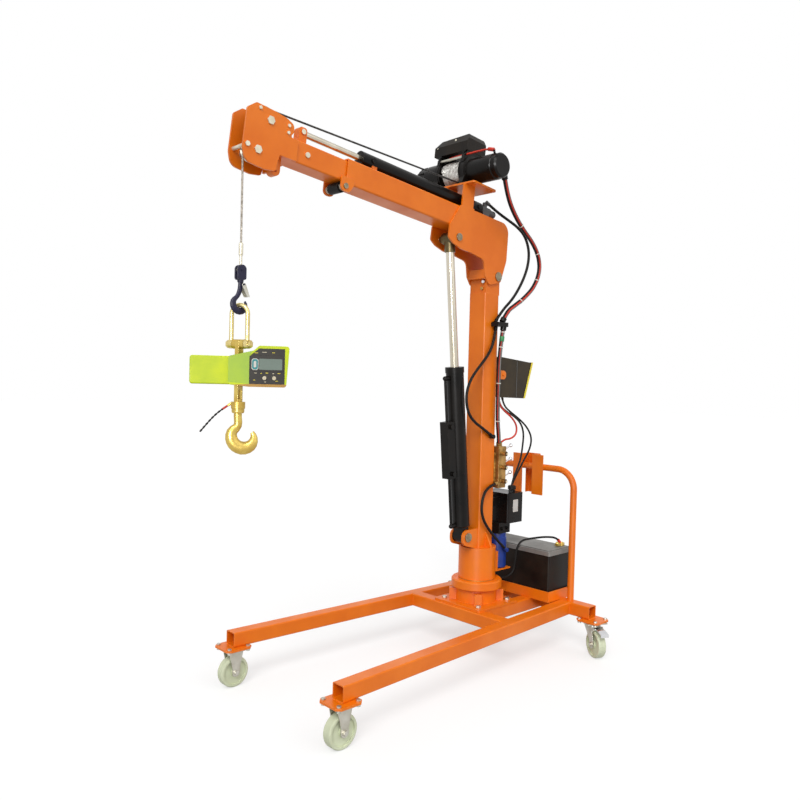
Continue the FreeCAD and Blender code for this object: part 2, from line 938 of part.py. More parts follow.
def swivel_fork():
    """Fork with its ball-race crown, the cheeks trailing to the axle."""
    crown = turned([(kingpin_radius + running_fit, 0), (fork_crown_radius, 0),
                    (fork_crown_radius, swivel_race_height * 0.6),
                    (fork_crown_radius - swivel_race_height * 0.4, swivel_race_height),
                    (kingpin_radius + running_fit, swivel_race_height)],
                   Vector(0, 0, swivel_crown_low), z_axis)
    hole = bar(Vector(swivel_trail, 0, wheel_radius), y_axis, axle_radius, 2 * fork_outer_y + overrun)
    tab_place = pedal_pin_place()
    tab = bar(Vector(tab_place.x, (fork_inner_y + fork_outer_y) / 2, tab_place.z), y_axis,
              pedal_pin_radius * 2, fork_sheet)
    pin = bar(tab_place, y_axis, pedal_pin_radius, 2 * fork_outer_y)
    return joined([crown] + fork_pair(swivel_trail, swivel_crown_low) + [tab, mirrored_y(tab), pin]).cut(hole)


def brake_pedal():
    """Pressed lever over the wheel, hinged on the fork's cross pin."""
    place = pedal_pin_place()
    barrel_half = fork_inner_y - slip_gap
    hub = washer(place - y_axis * barrel_half, y_axis, pedal_pin_radius + pedal_thick,
                 pedal_pin_radius + running_fit, 2 * barrel_half)
    arm_z = place.z + pedal_pin_radius + pedal_thick / 2
    rise = pedal_pin_radius
    arm = plate_xz([(place.x, arm_z, 0), (place.x + pedal_reach, arm_z - rise, 2),
                    (place.x + 2 * pedal_reach, arm_z - 3 * rise, 0),
                    (place.x + 2 * pedal_reach, arm_z - 3 * rise + pedal_thick, 0),
                    (place.x + pedal_reach, arm_z - rise + pedal_thick, 2),
                    (place.x, arm_z + pedal_thick, 0)], -pedal_half_width, pedal_half_width)
    lip = box(place.x + 2 * pedal_reach - pedal_thick, place.x + 2 * pedal_reach,
              -pedal_half_width, pedal_half_width, arm_z - 5 * rise, arm_z - 3 * rise + pedal_thick)
    bore = bar(place, y_axis, pedal_pin_radius + running_fit, 4 * pedal_half_width)
    return joined([hub, arm, lip]).cut(bore)


def leg_half_spacing(x):
    share = (x - leg_rear_x) / (leg_front_x - leg_rear_x)
    return leg_spread_rear + (leg_spread_front - leg_spread_rear) * share


front_castor_y = leg_half_spacing(front_castor_x)


def front_castor(shape, side):
    return moved(shape, Vector(front_castor_x, side * front_castor_y, 0))


def rear_castor(shape, side):
    swung = turned_about(shape, Vector(0, 0, 0), z_axis, side * swivel_rest_deg)
    return moved(swung, Vector(rear_beam_x, side * rear_castor_y, 0))


# Base frame
def leg(solid):
    """The near leg, splayed outward to the front; solid or as a tube."""
    run = leg_front_x - leg_rear_x
    splay = math.degrees(math.atan2(leg_spread_front - leg_spread_rear, run))
    low = -tube_size
    high = run + tube_size
    if solid:
        shape = square_bar_x(low, high, tube_size, tube_corner)
    else:
        shape = square_tube_x(low, high, tube_size, tube_wall, tube_corner)
    shape = turned_about(shape, Vector(0, 0, 0), z_axis, splay)
    shape = moved(shape, Vector(leg_rear_x, leg_spread_rear, frame_low + tube_size / 2))
    reach = 2 * leg_spread_front
    return shape.common(box(leg_rear_x, leg_front_x, 0, reach, 0, frame_top + overrun))


def cross_beam(x, half):
    tube = square_tube_x(-half, half, tube_size, tube_wall, tube_corner)
    tube = turned_about(tube, Vector(0, 0, 0), z_axis, 90)
    return moved(tube, Vector(x, 0, frame_low + tube_size / 2))


def corner_plate(x, y):
    half = corner_plate_half
    cut = corner_plate_chamfer
    corners = [(-half + cut, -half, 0), (half - cut, -half, 0), (half, -half + cut, 0), (half, half - cut, 0),
               (half - cut, half, 0), (-half + cut, half, 0), (-half, half - cut, 0), (-half, -half + cut, 0)]
    plate = plate_xy(corners, castor_height, frame_low)
    plate = without(plate, castor_bolt_holes(castor_height))
    return moved(plate, Vector(x, y, 0))


def base_frame():
    near_leg = leg(False)
    near_solid = leg(True)
    front_beam = cross_beam(front_beam_x, leg_spread_front)
    front_beam = without(front_beam, [near_solid, mirrored_y(near_solid)])
    trim = leg_half_spacing(front_beam_x)
    front_beam = front_beam.common(box(front_beam_x - tube_size, front_beam_x + tube_size, -trim, trim,
                                       frame_low - overrun, frame_top + overrun))
    rear_beam = cross_beam(rear_beam_x, rear_beam_half)
    rail_high = front_beam_x - tube_size / 2
    rail = square_tube_x(leg_rear_x, rail_high, tube_size, tube_wall, tube_corner)
    rail = moved(rail, Vector(0, side_rail_y, frame_low + tube_size / 2))
    parts = [rear_beam, near_leg, mirrored_y(near_leg), front_beam, rail, mirrored_y(rail)]
    for side in (-1, 1):
        parts.append(corner_plate(front_castor_x, side * front_castor_y))
        parts.append(corner_plate(rear_beam_x, side * rear_castor_y))
    return joined(parts)


def castor_bolts():
    """Hexagon bolts of all four corner plates, with their shanks and nuts."""
    bolts = []
    for x, y in ((front_castor_x, front_castor_y), (rear_beam_x, rear_castor_y)):
        for side in (-1, 1):
            for place in castor_bolt_places():
                spot = place + Vector(x, side * y, 0)
                low = castor_height - castor_plate_thick
                shank = stub(spot + z_axis * low, z_axis, castor_bolt_radius, frame_low - low)
                head = hexagon(spot + z_axis * frame_low, z_axis, castor_bolt_head_radius, castor_bolt_head)
                nut_low = low - castor_bolt_head
                nut = hexagon(spot + z_axis * nut_low, z_axis, castor_bolt_head_radius, castor_bolt_head)
                bolts.append(joined([shank, head, nut]))
    return group(bolts)


# Pedestal and slewing bearing
def hub_bolt_places():
    reach = hub_bolt_offset
    return [Vector(a * reach, b * reach, 0) for a in (-1, 1) for b in (-1, 1)]


def pedestal_hub():
    half = hub_plate_half
    plate = plate_xy(square_section(half, half, hub_plate_corner), frame_top, hub_top)
    body_top = hub_top + hub_body_height
    body = turned([(0, 0), (hub_body_radius, 0), (hub_body_radius, hub_body_height),
                   (hub_ring_radius - hub_ring_edge, hub_body_height),
                   (hub_ring_radius, hub_body_height + hub_ring_edge),
                   (hub_ring_radius, hub_body_height + hub_ring_height - hub_ring_edge),
                   (hub_ring_radius - hub_ring_edge, hub_body_height + hub_ring_height),
                   (hub_post_radius, hub_body_height + hub_ring_height),
                   (hub_post_radius, sleeve_top - sleeve_cap - hub_top - 2 * wheel_gap),
                   (0, sleeve_top - sleeve_cap - hub_top - 2 * wheel_gap)], Vector(0, 0, hub_top), z_axis)
    rib = box(0, hub_rib_reach, -hub_rib_thick / 2, hub_rib_thick / 2, hub_top, hub_top + hub_rib_height)
    parts = [plate, body]
    for k in range(4):
        parts.append(turned_about(rib, Vector(0, 0, 0), z_axis, 45 + 90 * k))
    shape = joined(parts)
    holes = [bar(p + z_axis * hub_top, z_axis, hub_bolt_radius, 4 * hub_plate_thick) for p in hub_bolt_places()]
    return without(shape, holes + [bar(p + z_axis * (hub_top + hub_bolt_head / 2), z_axis,
                                       hub_bolt_head_radius + slip_gap, hub_bolt_head) for p in hub_bolt_places()])


def hub_bolts():
    bolts = []
    for place in hub_bolt_places():
        shank = stub(place + z_axis * frame_top, z_axis, hub_bolt_radius, hub_plate_thick)
        head = hexagon(place + z_axis * hub_top, z_axis, hub_bolt_head_radius, hub_bolt_head)
        bolts.append(joined([shank, head]))
    return group(bolts)


def thrust_washer():
    return washer(Vector(0, 0, ring_top), z_axis, thrust_washer_outer, thrust_washer_inner, thrust_washer_thick)


def slewing_bushes():
    """Two bronze bushes pressed in the sleeve, running on the post."""
    outer = sleeve_radius - sleeve_wall
    inner = hub_post_radius + running_fit
    low = sleeve_low + bush_inset
    high = sleeve_top - sleeve_cap - bush_inset - bush_height
    return group([washer(Vector(0, 0, z), z_axis, outer, inner, bush_height) for z in (low, high)])


# Mast weldment
def mast_ears():
    """Two ears on the column's foot that hold the lift cylinder's pin."""
    column_front = column_size / 2
    low = sleeve_top
    ear = plate_xz([(column_front - column_corner, low, 0),
                    (column_front + foot_ear_radius / 2, low, 0),
                    (foot_pin_x + foot_ear_radius, foot_pin_z - foot_ear_radius, foot_ear_radius * 0.95),
                    (foot_pin_x + foot_ear_radius, foot_pin_z + foot_ear_radius, foot_ear_radius * 0.95),
                    (column_front - column_corner, foot_pin_z + foot_ear_radius, 0)],
                   foot_ear_inner, foot_ear_inner + foot_ear_thick)
    return [ear, mirrored_y(ear)]


def mast_gusset():
    """Tapered gusset from a column face down to the sleeve's rim, with its slot."""
    start = column_size / 2 - column_wall / 2
    end = sleeve_radius - overrun / 2
    top = sleeve_top + mast_gusset_height
    half = mast_gusset_thick / 2
    web = plate_xz([(start, sleeve_top, 0), (end, sleeve_top, 0), (end, sleeve_top + half * 2, 0),
                    (start + half, top, 0), (start, top, 0)], -half, half)
    return web


def mast():
    """Slewing sleeve, square column, head block, ears and gussets, all welded."""
    inner = sleeve_radius - sleeve_wall
    sleeve = turned([(inner, 0), (sleeve_radius, 0), (sleeve_radius, sleeve_height), (0, sleeve_height),
                     (0, sleeve_height - sleeve_cap), (inner, sleeve_height - sleeve_cap)],
                    Vector(0, 0, sleeve_low), z_axis)
    column = square_tube_x(sleeve_top, column_top, column_size, column_wall, column_corner)
    column = turned_about(column, Vector(0, 0, 0), y_axis, -90)
    head_top = column_top + column_head_rise
    head = box(-column_size / 2, column_head_front, -column_head_half, column_head_half,
               column_top - column_wall, head_top)
    bore = bar(Vector(pivot_x, 0, pivot_z), y_axis, pivot_pin_radius + pivot_bush_wall, 2 * column_size)
    parts = [sleeve, column, head] + mast_ears()
    for k in range(1, 4):
        parts.append(turned_about(mast_gusset(), Vector(0, 0, 0), z_axis, 90 * k))
    pin_bore = bar(Vector(foot_pin_x, 0, foot_pin_z), y_axis, foot_pin_radius, 2 * column_size)
    return without(joined(parts), [bore, pin_bore])


def pivot_bushes():
    """Bronze bushes in the mast head, one from each side."""
    centre = Vector(pivot_x, 0, pivot_z)
    outer = pivot_pin_radius + pivot_bush_wall
    inner = pivot_pin_radius + running_fit
    length = column_head_half * 0.6
    near = washer(centre + y_axis * (column_head_half - length), y_axis, outer, inner, length)
    return group([near, mirrored_y(near)])


def lift_foot_pin():
    half = foot_ear_inner + foot_ear_thick
    centre = Vector(foot_pin_x, 0, foot_pin_z)
    pin = bar(centre, y_axis, foot_pin_radius, 2 * half)
    head = stub(centre + y_axis * half, y_axis, pin_head_radius, pin_head_thick)
    return joined([pin, head, mirrored_y(head)])


def mast_head_bolt():
    """Bolt on the front of the mast head, under the boom's tie plate."""
    start = Vector(column_head_front, column_head_half / 2, column_top + 3 * head_bolt_radius)
    return hexagon(start, x_axis, head_bolt_radius * 1.15, head_bolt_height)


# Lift cylinder, drawn upright at its foot pin and then leaned to the boom
lift_vector = lift_head_point - Vector(foot_pin_x, 0, foot_pin_z)
lift_length = lift_vector.Length
lift_lean_deg = math.degrees(math.atan2(lift_vector.x, lift_vector.z))


def leaned(shape):
    """From the upright cylinder frame, foot pin at zero, to its place."""
    copy = turned_about(shape, Vector(0, 0, 0), y_axis, lift_lean_deg)
    return moved(copy, Vector(foot_pin_x, 0, foot_pin_z))


def lift_barrel():
    eye = bar(Vector(0, 0, 0), y_axis, foot_ear_radius * 0.9, 2 * barrel_eye_half)
    eye_block = box(-barrel_eye_half * 0.7, barrel_eye_half * 0.7, -barrel_eye_half, barrel_eye_half, 0,
                    barrel_foot)
    gland_low = barrel_length - gland_height
    body = turned([(0, barrel_foot - overrun), (barrel_radius - overrun, barrel_foot - overrun),
                   (barrel_radius, barrel_foot), (barrel_radius, gland_low),
                   (barrel_radius + gland_overhang, gland_low), (barrel_radius + gland_overhang, barrel_length),
                   (rod_radius + running_fit, barrel_length), (rod_radius + running_fit, gland_low),
                   (barrel_bore, gland_low), (barrel_bore, barrel_foot + overrun), (0, barrel_foot + overrun)],
                  Vector(0, 0, 0), z_axis)
    hole = bar(Vector(0, 0, 0), y_axis, foot_pin_radius + running_fit, 4 * barrel_eye_half)
    return leaned(joined([eye, eye_block, body]).cut(hole))


def lift_valve_block():
    """Holding valve on the barrel's front with its ports and steel pipes."""
    near_x = barrel_radius
    body = box(near_x, near_x + lift_block_depth, -lift_block_half, lift_block_half, lift_block_low,
               lift_block_high)
    screws = [bar(Vector(near_x + lift_block_depth / 2, 0, z), y_axis, lift_port_radius,
                  2 * lift_block_half + 2 * lift_port_radius)
              for z in (lift_block_low + 2 * lift_port_radius, lift_block_high - 2 * lift_port_radius)]
    pieces = [body] + screws
    for z, end in ((lift_port_low, lift_block_low), (lift_port_high, lift_block_high)):
        port = stub(Vector(barrel_radius, 0, z), x_axis, lift_port_radius, lift_pipe_offset - barrel_radius)
        low = min(z, end)
        pipe = stub(Vector(lift_pipe_offset, 0, low), z_axis, lift_pipe_radius, abs(end - z))
        elbow = Part.makeSphere(lift_port_radius, Vector(lift_pipe_offset, 0, z))
        pieces += [port, pipe, elbow]
    block = joined(pieces)
    skin = stub(Vector(0, 0, 0), z_axis, barrel_radius, barrel_length - gland_height)
    return leaned(block.cut(skin))


def lift_rod():
    """Chrome rod with its piston inside the barrel."""
    top = lift_length - rod_eye_neck
    low = barrel_length - gland_height - rod_tail
    shaft = stub(Vector(0, 0, low), z_axis, rod_radius, top - low)
    piston = stub(Vector(0, 0, low - gland_height), z_axis, barrel_bore - running_fit, gland_height)
    return leaned(joined([shaft, piston]))


def lift_rod_eye():
    """Rod end with its cross pin, free between the boom's cheeks."""
    centre = Vector(0, 0, lift_length)
    neck = stub(Vector(0, 0, lift_length - rod_eye_neck), z_axis, rod_eye_radius * 0.9, rod_eye_neck)
    eye = bar(centre, y_axis, rod_eye_radius, 2 * rod_eye_half)
    pin = bar(centre, y_axis, foot_pin_radius, 2 * (plate_inner_y - slip_gap))
    return leaned(joined([neck, eye, pin]))


def lift_pin_caps():
    """Ends of the upper lift pin, held in the boom's side plates."""
    centre = Vector(lift_pin_s, plate_inner_y, lift_pin_n)
    cap = joined([stub(centre, y_axis, foot_pin_radius, side_plate_thick),
                  stub(centre + y_axis * side_plate_thick, y_axis, pin_head_radius * 0.8, pin_head_thick)])
    return on_boom(group([cap, mirrored_y(cap)]))


# Boom weldments, drawn level
def boom_side_plate():
    """Side plate from the winch straps over the mast head to the lift pin."""
    half = outer_size / 2
    outline = [(plate_front_s - plate_front_rake, half, 0),
               (strap_front, half, 0),
               (strap_front, winch_plate_under, 0),
               (strap_rear, winch_plate_under, 0),
               (strap_rear, half, strap_root_radius),
               (plate_rear_s, half, plate_shoulder),
               (plate_rear_s - plate_rear_bulge, lift_pin_n - plate_front_rake / 2, plate_shoulder)]
    for ds, dn, radius in pivot_outline:
        outline.append((pivot_local.x + ds, pivot_local.z + dn, radius))
    for ds, dn, radius in lift_outline:
        outline.append((lift_pin_s + ds, lift_pin_n + dn, radius))
    outline.append((plate_front_s - 2, -half, 0))
    return plate_xz(outline, plate_inner_y, plate_outer_y)


def boom_local(point):
    """A point of the crane's frame in the level boom frame."""
    x = point.x
    z = point.z - boom_axis_z
    return Vector(x * math.cos(boom_angle) + z * math.sin(boom_angle), point.y,
                  -x * math.sin(boom_angle) + z * math.cos(boom_angle))


pivot_local = boom_local(Vector(pivot_x, 0, pivot_z))
roller_n = -(inner_size / 2 + roller_radius + slip_gap)
roller_s = outer_front + mouth_lug_radius * 0.4


def outer_boom():
    half = outer_size / 2
    tube = square_tube_x(outer_rear, outer_front, outer_size, outer_wall, outer_corner)
    plate = boom_side_plate()
    lug = plate_xz([(roller_s - 2 * mouth_lug_radius, -half * 0.55, 0),
                    (roller_s - 2 * mouth_lug_radius, -half, 0),
                    (roller_s - mouth_lug_radius, roller_n - mouth_lug_radius, mouth_lug_radius * 0.95),
                    (roller_s + mouth_lug_radius, roller_n - mouth_lug_radius, mouth_lug_radius * 0.95),
                    (roller_s + mouth_lug_radius, -half * 0.55, roller_lug_corner)],
                   plate_inner_y, plate_inner_y + mouth_lug_thick)
    tie_low = pivot_local.z - tie_plate_height * 0.6
    reach = column_size / 2 - pivot_x
    tie_s = pivot_local.x + reach + tie_plate_thick
    tie = box(tie_s, tie_s + tie_plate_thick, -plate_inner_y, plate_inner_y, tie_low, tie_low + tie_plate_height)
    saddles = []
    for s in (tele_barrel_rear + 2 * tele_saddle_length, tele_barrel_front - 3 * tele_saddle_length):
        block = box(s, s + tele_saddle_length, -tele_barrel_radius * 0.8, tele_barrel_radius * 0.8, half,
                    tele_axis_n - tele_barrel_radius * 0.4)
        saddles.append(block.cut(bar(Vector(s, 0, tele_axis_n), x_axis, tele_barrel_radius, 4 * tele_saddle_length)))
    room_y = half - outer_wall
    room = box(roller_s - roller_radius - wheel_gap, outer_front + overrun, -room_y, room_y,
               roller_n, -inner_size / 2)
    shape = joined([tube.cut(room), plate, mirrored_y(plate), lug, mirrored_y(lug), tie] + saddles)
    pin = bar(pivot_local, y_axis, pivot_pin_radius, 4 * outer_size)
    lift = bar(Vector(lift_pin_s, 0, lift_pin_n), y_axis, foot_pin_radius, 4 * outer_size)
    roller = bar(Vector(roller_s, 0, roller_n), y_axis, roller_bore, 4 * outer_size)
    return on_boom(without(shape, [pin, lift, roller]))


def boom_pivot_pin():
    centre = Vector(pivot_x, 0, pivot_z)
    pin = bar(centre, y_axis, pivot_pin_radius, 2 * plate_outer_y)
    head = stub(centre + y_axis * plate_outer_y, y_axis, pin_head_radius, pin_head_thick)
    return joined([pin, head, mirrored_y(head)])


def roller_pin():
    half = plate_inner_y + mouth_lug_thick
    centre = Vector(roller_s, 0, roller_n)
    pin = bar(centre, y_axis, roller_bore, 2 * half)
    head = stub(centre + y_axis * half, y_axis, roller_bore * 1.8, cap_bolt_height)
    return on_boom(joined([pin, head, mirrored_y(head)]))


def boom_roller():
    """Support roller at the boom's mouth with turned-down ends."""
    half = plate_inner_y - slip_gap * 2
    body = half - roller_cap * 2
    side = [(roller_bore + running_fit, half), (roller_radius * 0.7, half), (roller_radius * 0.7, body),
            (roller_radius, body)]
    profile = side + [(r, -h) for r, h in reversed(side)]
    return on_boom(turned(profile, Vector(roller_s, 0, roller_n), y_axis))


def wear_pad_ring(s_low, face, thick):
    """Four flat pads round a square section, against a face at that distance."""
    half = pad_width / 2
    top = box(s_low, s_low + pad_length, -half, half, face, face + thick)
    return group([turned_about(top, Vector(0, 0, 0), x_axis, 90 * k) for k in range(4)])


pad_space = (outer_size - 2 * outer_wall - inner_size) / 2
pad_thick = pad_space - slip_gap


def mouth_wear_pads():
    low = outer_front - pad_length - roller_radius - wheel_gap
    return on_boom(wear_pad_ring(low, inner_size / 2 + slip_gap, pad_thick))


def tail_wear_pads():
    return on_boom(wear_pad_ring(inner_rear, inner_size / 2, pad_thick))


def inner_boom():
    return on_boom(square_tube_x(inner_rear, inner_front, inner_size, inner_wall, inner_corner))


def head_plate():
    """Near head plate: nose, crown over the sheaves, rear ear and belly."""
    low = inner_size / 2
    outline = [(head_rear, -low, 0), (head_rear, low * head_rear_corner_share, head_rear_corner)]
    for ds, dn, radius in head_crown_outline:
        outline.append((upper_sheave_s + ds, upper_sheave_n + dn, radius))
    for ds, dn, radius in head_belly_outline:
        outline.append((lower_sheave_s + ds, lower_sheave_n + dn, radius))
    outline.append((head_web_front, -low, 0))
    return plate_xz(outline, low, low + head_plate_thick)


def boom_head():
    """Two head plates welded to the inner boom, with the lower eye between them."""
    plate = head_plate()
    half = inner_size / 2
    lug_top = -half
    lug = joined([bar(Vector(head_lug_s, 0, head_lug_n), y_axis, head_lug_radius, 2 * head_lug_half),
                  box(head_lug_s - head_lug_radius, head_lug_s + head_lug_radius, -head_lug_half, head_lug_half,
                      head_lug_n, lug_top)])
    brace_front = head_web_front + head_brace_thick
    brace = box(head_web_front, brace_front, -half, half, head_brace_low, -half)
    floor = box(inner_front, brace_front, -half, half, -half, -half + head_plate_thick)
    shape = joined([plate, mirrored_y(plate), brace, floor, lug])
    cuts = [bar(Vector(head_lug_s, 0, head_lug_n), y_axis, head_lug_bore, 4 * head_lug_half)]
    for s, n in ((upper_sheave_s, upper_sheave_n), (lower_sheave_s, lower_sheave_n)):
        cuts.append(bar(Vector(s, 0, n), y_axis, sheave_bore, 4 * half))
    cuts.append(bar(Vector(guard_s - guard_radius * 2, 0, guard_n), y_axis, guard_radius, 4 * half))
    return on_boom(without(shape, cuts))


def sheave(s, n, pitch_radius):
    """Grooved sheave with spacers up to the head plates."""
    half = sheave_width / 2
    rim = pitch_radius + sheave_lip
    root = pitch_radius - rope_radius - slip_gap
    inner = sheave_bore + running_fit
    spacer = inner_size / 2 - slip_gap
    side = [(inner, spacer), (sheave_spacer_radius, spacer), (sheave_spacer_radius, half), (rim - 2, half),
            (rim, half * 0.75), (root + rope_radius + slip_gap, rope_radius * 1.4), (root, rope_radius * 0.55)]
    profile = side + [(r, -h) for r, h in reversed(side)]
    return on_boom(turned(profile, Vector(s, 0, n), y_axis))


def sheave_pins():
    pins = []
    half = inner_size / 2 + head_plate_thick
    for s, n in ((upper_sheave_s, upper_sheave_n), (lower_sheave_s, lower_sheave_n)):
        centre = Vector(s, 0, n)
        pin = bar(centre, y_axis, sheave_bore, 2 * half)
        head = hexagon(centre + y_axis * half, y_axis, sheave_bore * 1.25, cap_bolt_height)
        pins.append(joined([pin, head, mirrored_y(head)]))
    return on_boom(group(pins))


def rope_guard():
    """Cross pin with a pointed keeper in front of the lower sheave."""
    half = inner_size / 2 + head_plate_thick
    place = Vector(guard_s - guard_radius * 2, 0, guard_n)
    pin = bar(place, y_axis, guard_radius, 2 * half)
    head = hexagon(place + y_axis * half, y_axis, guard_radius * 1.4, cap_bolt_height)
    return on_boom(joined([pin, head, mirrored_y(head)]))


def head_bolts():
    bolts = []
    half = inner_size / 2 + head_plate_thick
    for s, n in head_bolt_places:
        bolt = stub(Vector(s, half, n), y_axis, cap_bolt_radius, cap_bolt_height)
        bolts += [bolt, mirrored_y(bolt)]
    return on_boom(group(bolts))


# Telescope cylinder
def telescope_barrel():
    body = turned([(0, 0), (tele_barrel_radius, 0), (tele_barrel_radius, tele_barrel_front - tele_barrel_rear),
                   (tele_rod_radius + running_fit, tele_barrel_front - tele_barrel_rear),
                   (tele_rod_radius + running_fit, tele_barrel_front - tele_barrel_rear - tele_saddle_length),
                   (tele_barrel_bore, tele_barrel_front - tele_barrel_rear - tele_saddle_length),
                   (tele_barrel_bore, tele_saddle_length), (0, tele_saddle_length)],
                  Vector(tele_barrel_rear, 0, tele_axis_n), x_axis)
    ports = []
    for s in (tele_barrel_rear + tele_saddle_length, tele_barrel_front - 2 * tele_saddle_length):
        ports.append(stub(Vector(s, tele_barrel_radius * 0.8, tele_axis_n), y_axis, lift_port_radius, lift_port_radius))
    return on_boom(joined([body] + ports))


def telescope_valve():
    """Valve cartridge on the cylinder's rear end."""
    start = Vector(tele_barrel_rear, 0, tele_axis_n)
    length = tele_valve_length
    body = turned([(0, 0), (tele_valve_radius, 0), (tele_valve_radius, length * 0.62),
                   (tele_valve_radius * 0.8, length * 0.66), (tele_valve_radius * 0.8, length * 0.94),
                   (tele_valve_radius * 0.6, length), (0, length)], start, x_axis * -1)
    block = box(tele_barrel_rear - length * 0.5, tele_barrel_rear - length * 0.1, -tele_valve_radius,
                tele_valve_radius, outer_size / 2, tele_axis_n)
    port = stub(Vector(valve_port_s, 0, tele_axis_n), z_axis, lift_port_radius, valve_port_height)
    return joined([on_boom(joined([body, block, port])), gland(telescope_route, 0, hose_radius)])


def telescope_rod():
    low = tele_barrel_front - tele_saddle_length - tele_rod_tail
    shaft = stub(Vector(low, 0, tele_axis_n), x_axis, tele_rod_radius, tele_bracket_rear - low)
    piston = stub(Vector(low - tele_saddle_length, 0, tele_axis_n), x_axis, tele_barrel_bore - running_fit,
                  tele_saddle_length)
    return on_boom(joined([shaft, piston]))


def telescope_bracket():
    """Post on the inner boom that the telescope rod pushes."""
    low = inner_size / 2
    top = tele_axis_n + tele_bracket_half
    rear = tele_bracket_rear
    front = rear + tele_bracket_length
    corner = tele_post_corner
    post = plate_xz([(rear, low, 0), (front + tele_bracket_half, low, 0), (front, low + tele_bracket_half, 0),
                     (front, top, corner), (rear, top, corner)], -tele_bracket_half, tele_bracket_half)
    bolt = bar(Vector((rear + front) / 2, 0, tele_axis_n), y_axis, tele_bolt_radius,
               2 * (tele_bracket_half + cap_bolt_height))
    washer_disc = bar(Vector(rear + cap_bolt_radius, inner_size / 2 + cap_bolt_height / 2, 0), y_axis,
                      tele_bolt_radius, cap_bolt_height)
    return on_boom(group([joined([post, bolt]), washer_disc, mirrored_y(washer_disc)]))


# Winch
def winch_centre(y):
    return Vector(winch_axis_s, y, winch_axis_n)


def winch_plate():
    low_s = winch_axis_s - winch_plate_half_s
    high_s = winch_axis_s + winch_plate_half_s
    half, corner = winch_plate_half_y, winch_plate_corner
    plate = plate_xy([(low_s, -half, corner), (high_s, -half, corner), (high_s, half, corner), (low_s, half, corner)],
                     winch_plate_under, winch_plate_under + winch_plate_thick)
    bolts = []
    for s in (low_s + 3 * cap_bolt_radius, high_s - 3 * cap_bolt_radius):
        for y in (-winch_plate_half_y + 2 * cap_bolt_radius, winch_plate_half_y - 2 * cap_bolt_radius):
            bolts.append(stub(Vector(s, y, winch_plate_under - cap_bolt_height), z_axis, cap_bolt_radius,
                              cap_bolt_height))
    return on_boom(joined([plate] + bolts))


def winch_foot(y_low, y_high, radius):
    """Cast foot from the plate up round the winch body."""
    plate_top = winch_plate_under + winch_plate_thick
    return plate_xz([(winch_axis_s - winch_foot_half, plate_top, 0), (winch_axis_s + winch_foot_half, plate_top, 0),
                     (winch_axis_s + winch_foot_half, plate_top + winch_foot_thick, 0),
                     (winch_axis_s + radius * foot_waist_share, winch_axis_n, 0),
                     (winch_axis_s - radius * foot_waist_share, winch_axis_n, 0),
                     (winch_axis_s - winch_foot_half, plate_top + winch_foot_thick, 0)], y_low, y_high)


def winch_gearbox():
    """Stepped gearbox housing at the drum's far end, with its foot."""
    length = drum_low_y - slip_gap - gearbox_low_y
    nose = gearbox_step_radius + body_lip
    rim = gearbox_radius + body_lip
    body = turned([(0, 0), (gearbox_step_radius, 0), (nose, gearbox_nose), (nose, gearbox_nose_end),
                   (gearbox_radius, gearbox_taper_end), (gearbox_radius, length - gearbox_rim_ramp),
                   (rim, length - gearbox_rim_length), (rim, length), (0, length)],
                  winch_centre(gearbox_low_y), y_axis)
    foot_end = drum_low_y - slip_gap
    foot = winch_foot(foot_end - gearbox_foot_thick, foot_end, gearbox_radius)
    ribs = []
    for k in range(gearbox_ribs):
        rib = box(-gearbox_rib_half, gearbox_rib_half, gearbox_low_y + gearbox_rib_start,
                  gearbox_low_y + gearbox_rib_end, gearbox_step_radius - gearbox_rib_sunk,
                  gearbox_step_radius + gearbox_rib_proud)
        rib = turned_about(rib, Vector(0, 0, 0), y_axis, 360 / gearbox_ribs * k)
        ribs.append(moved(rib, winch_centre(0)))
    return on_boom(joined([body, foot] + ribs))


def winch_motor():
    """Motor and its bearing housing at the near end, with its foot."""
    start = drum_high_y + slip_gap
    length = motor_high_y - start
    collar_radius = motor_radius + motor_collar_lip
    cap_radius = motor_radius - motor_cap_lip
    body = turned([(0, 0), (collar_radius, 0), (collar_radius, motor_collar_length),
                   (motor_radius, motor_collar_ramp), (motor_radius, length - motor_cap_ramp),
                   (cap_radius, length - motor_cap_start), (cap_radius, length - motor_cap_edge),
                   (motor_radius - motor_cap_round, length), (0, length)], winch_centre(start), y_axis)
    foot = winch_foot(start, start + motor_foot_thick, motor_radius)
    studs = []
    for turn in motor_stud_turns_deg:
        lug = stub(Vector(0, motor_high_y - motor_stud_back, motor_radius - motor_stud_sunk), z_axis,
                   motor_stud_radius, motor_stud_length)
        lug = turned_about(lug, Vector(0, 0, 0), y_axis, turn)
        studs.append(moved(lug, winch_centre(0)))
    collar = gland(bundle_route, 0, bundle_radius)
    return joined([on_boom(joined([body, foot] + studs)), collar])


def winch_drum():
    """Plain core and flanges that carry the rope, with the drive shaft's ends."""
    low = drum_low_y + slip_gap
    high = drum_high_y - slip_gap
    length = high - low
    body = turned([(0, 0), (drum_flange_radius, 0), (drum_flange_radius, drum_flange_thick),
                   (drum_core_radius, drum_flange_thick), (drum_core_radius, length - drum_flange_thick),
                   (drum_flange_radius, length - drum_flange_thick), (drum_flange_radius, length), (0, length)],
                  winch_centre(low), y_axis)
    return on_boom(body)


def drum_rope():
    low = drum_low_y + drum_flange_thick + 2 * rope_radius
    high = drum_high_y - drum_flange_thick - 2 * rope_radius
    return on_boom(winding(winch_centre(0), wrap_pitch_radius, low, high, wrap_turns, rope_radius))


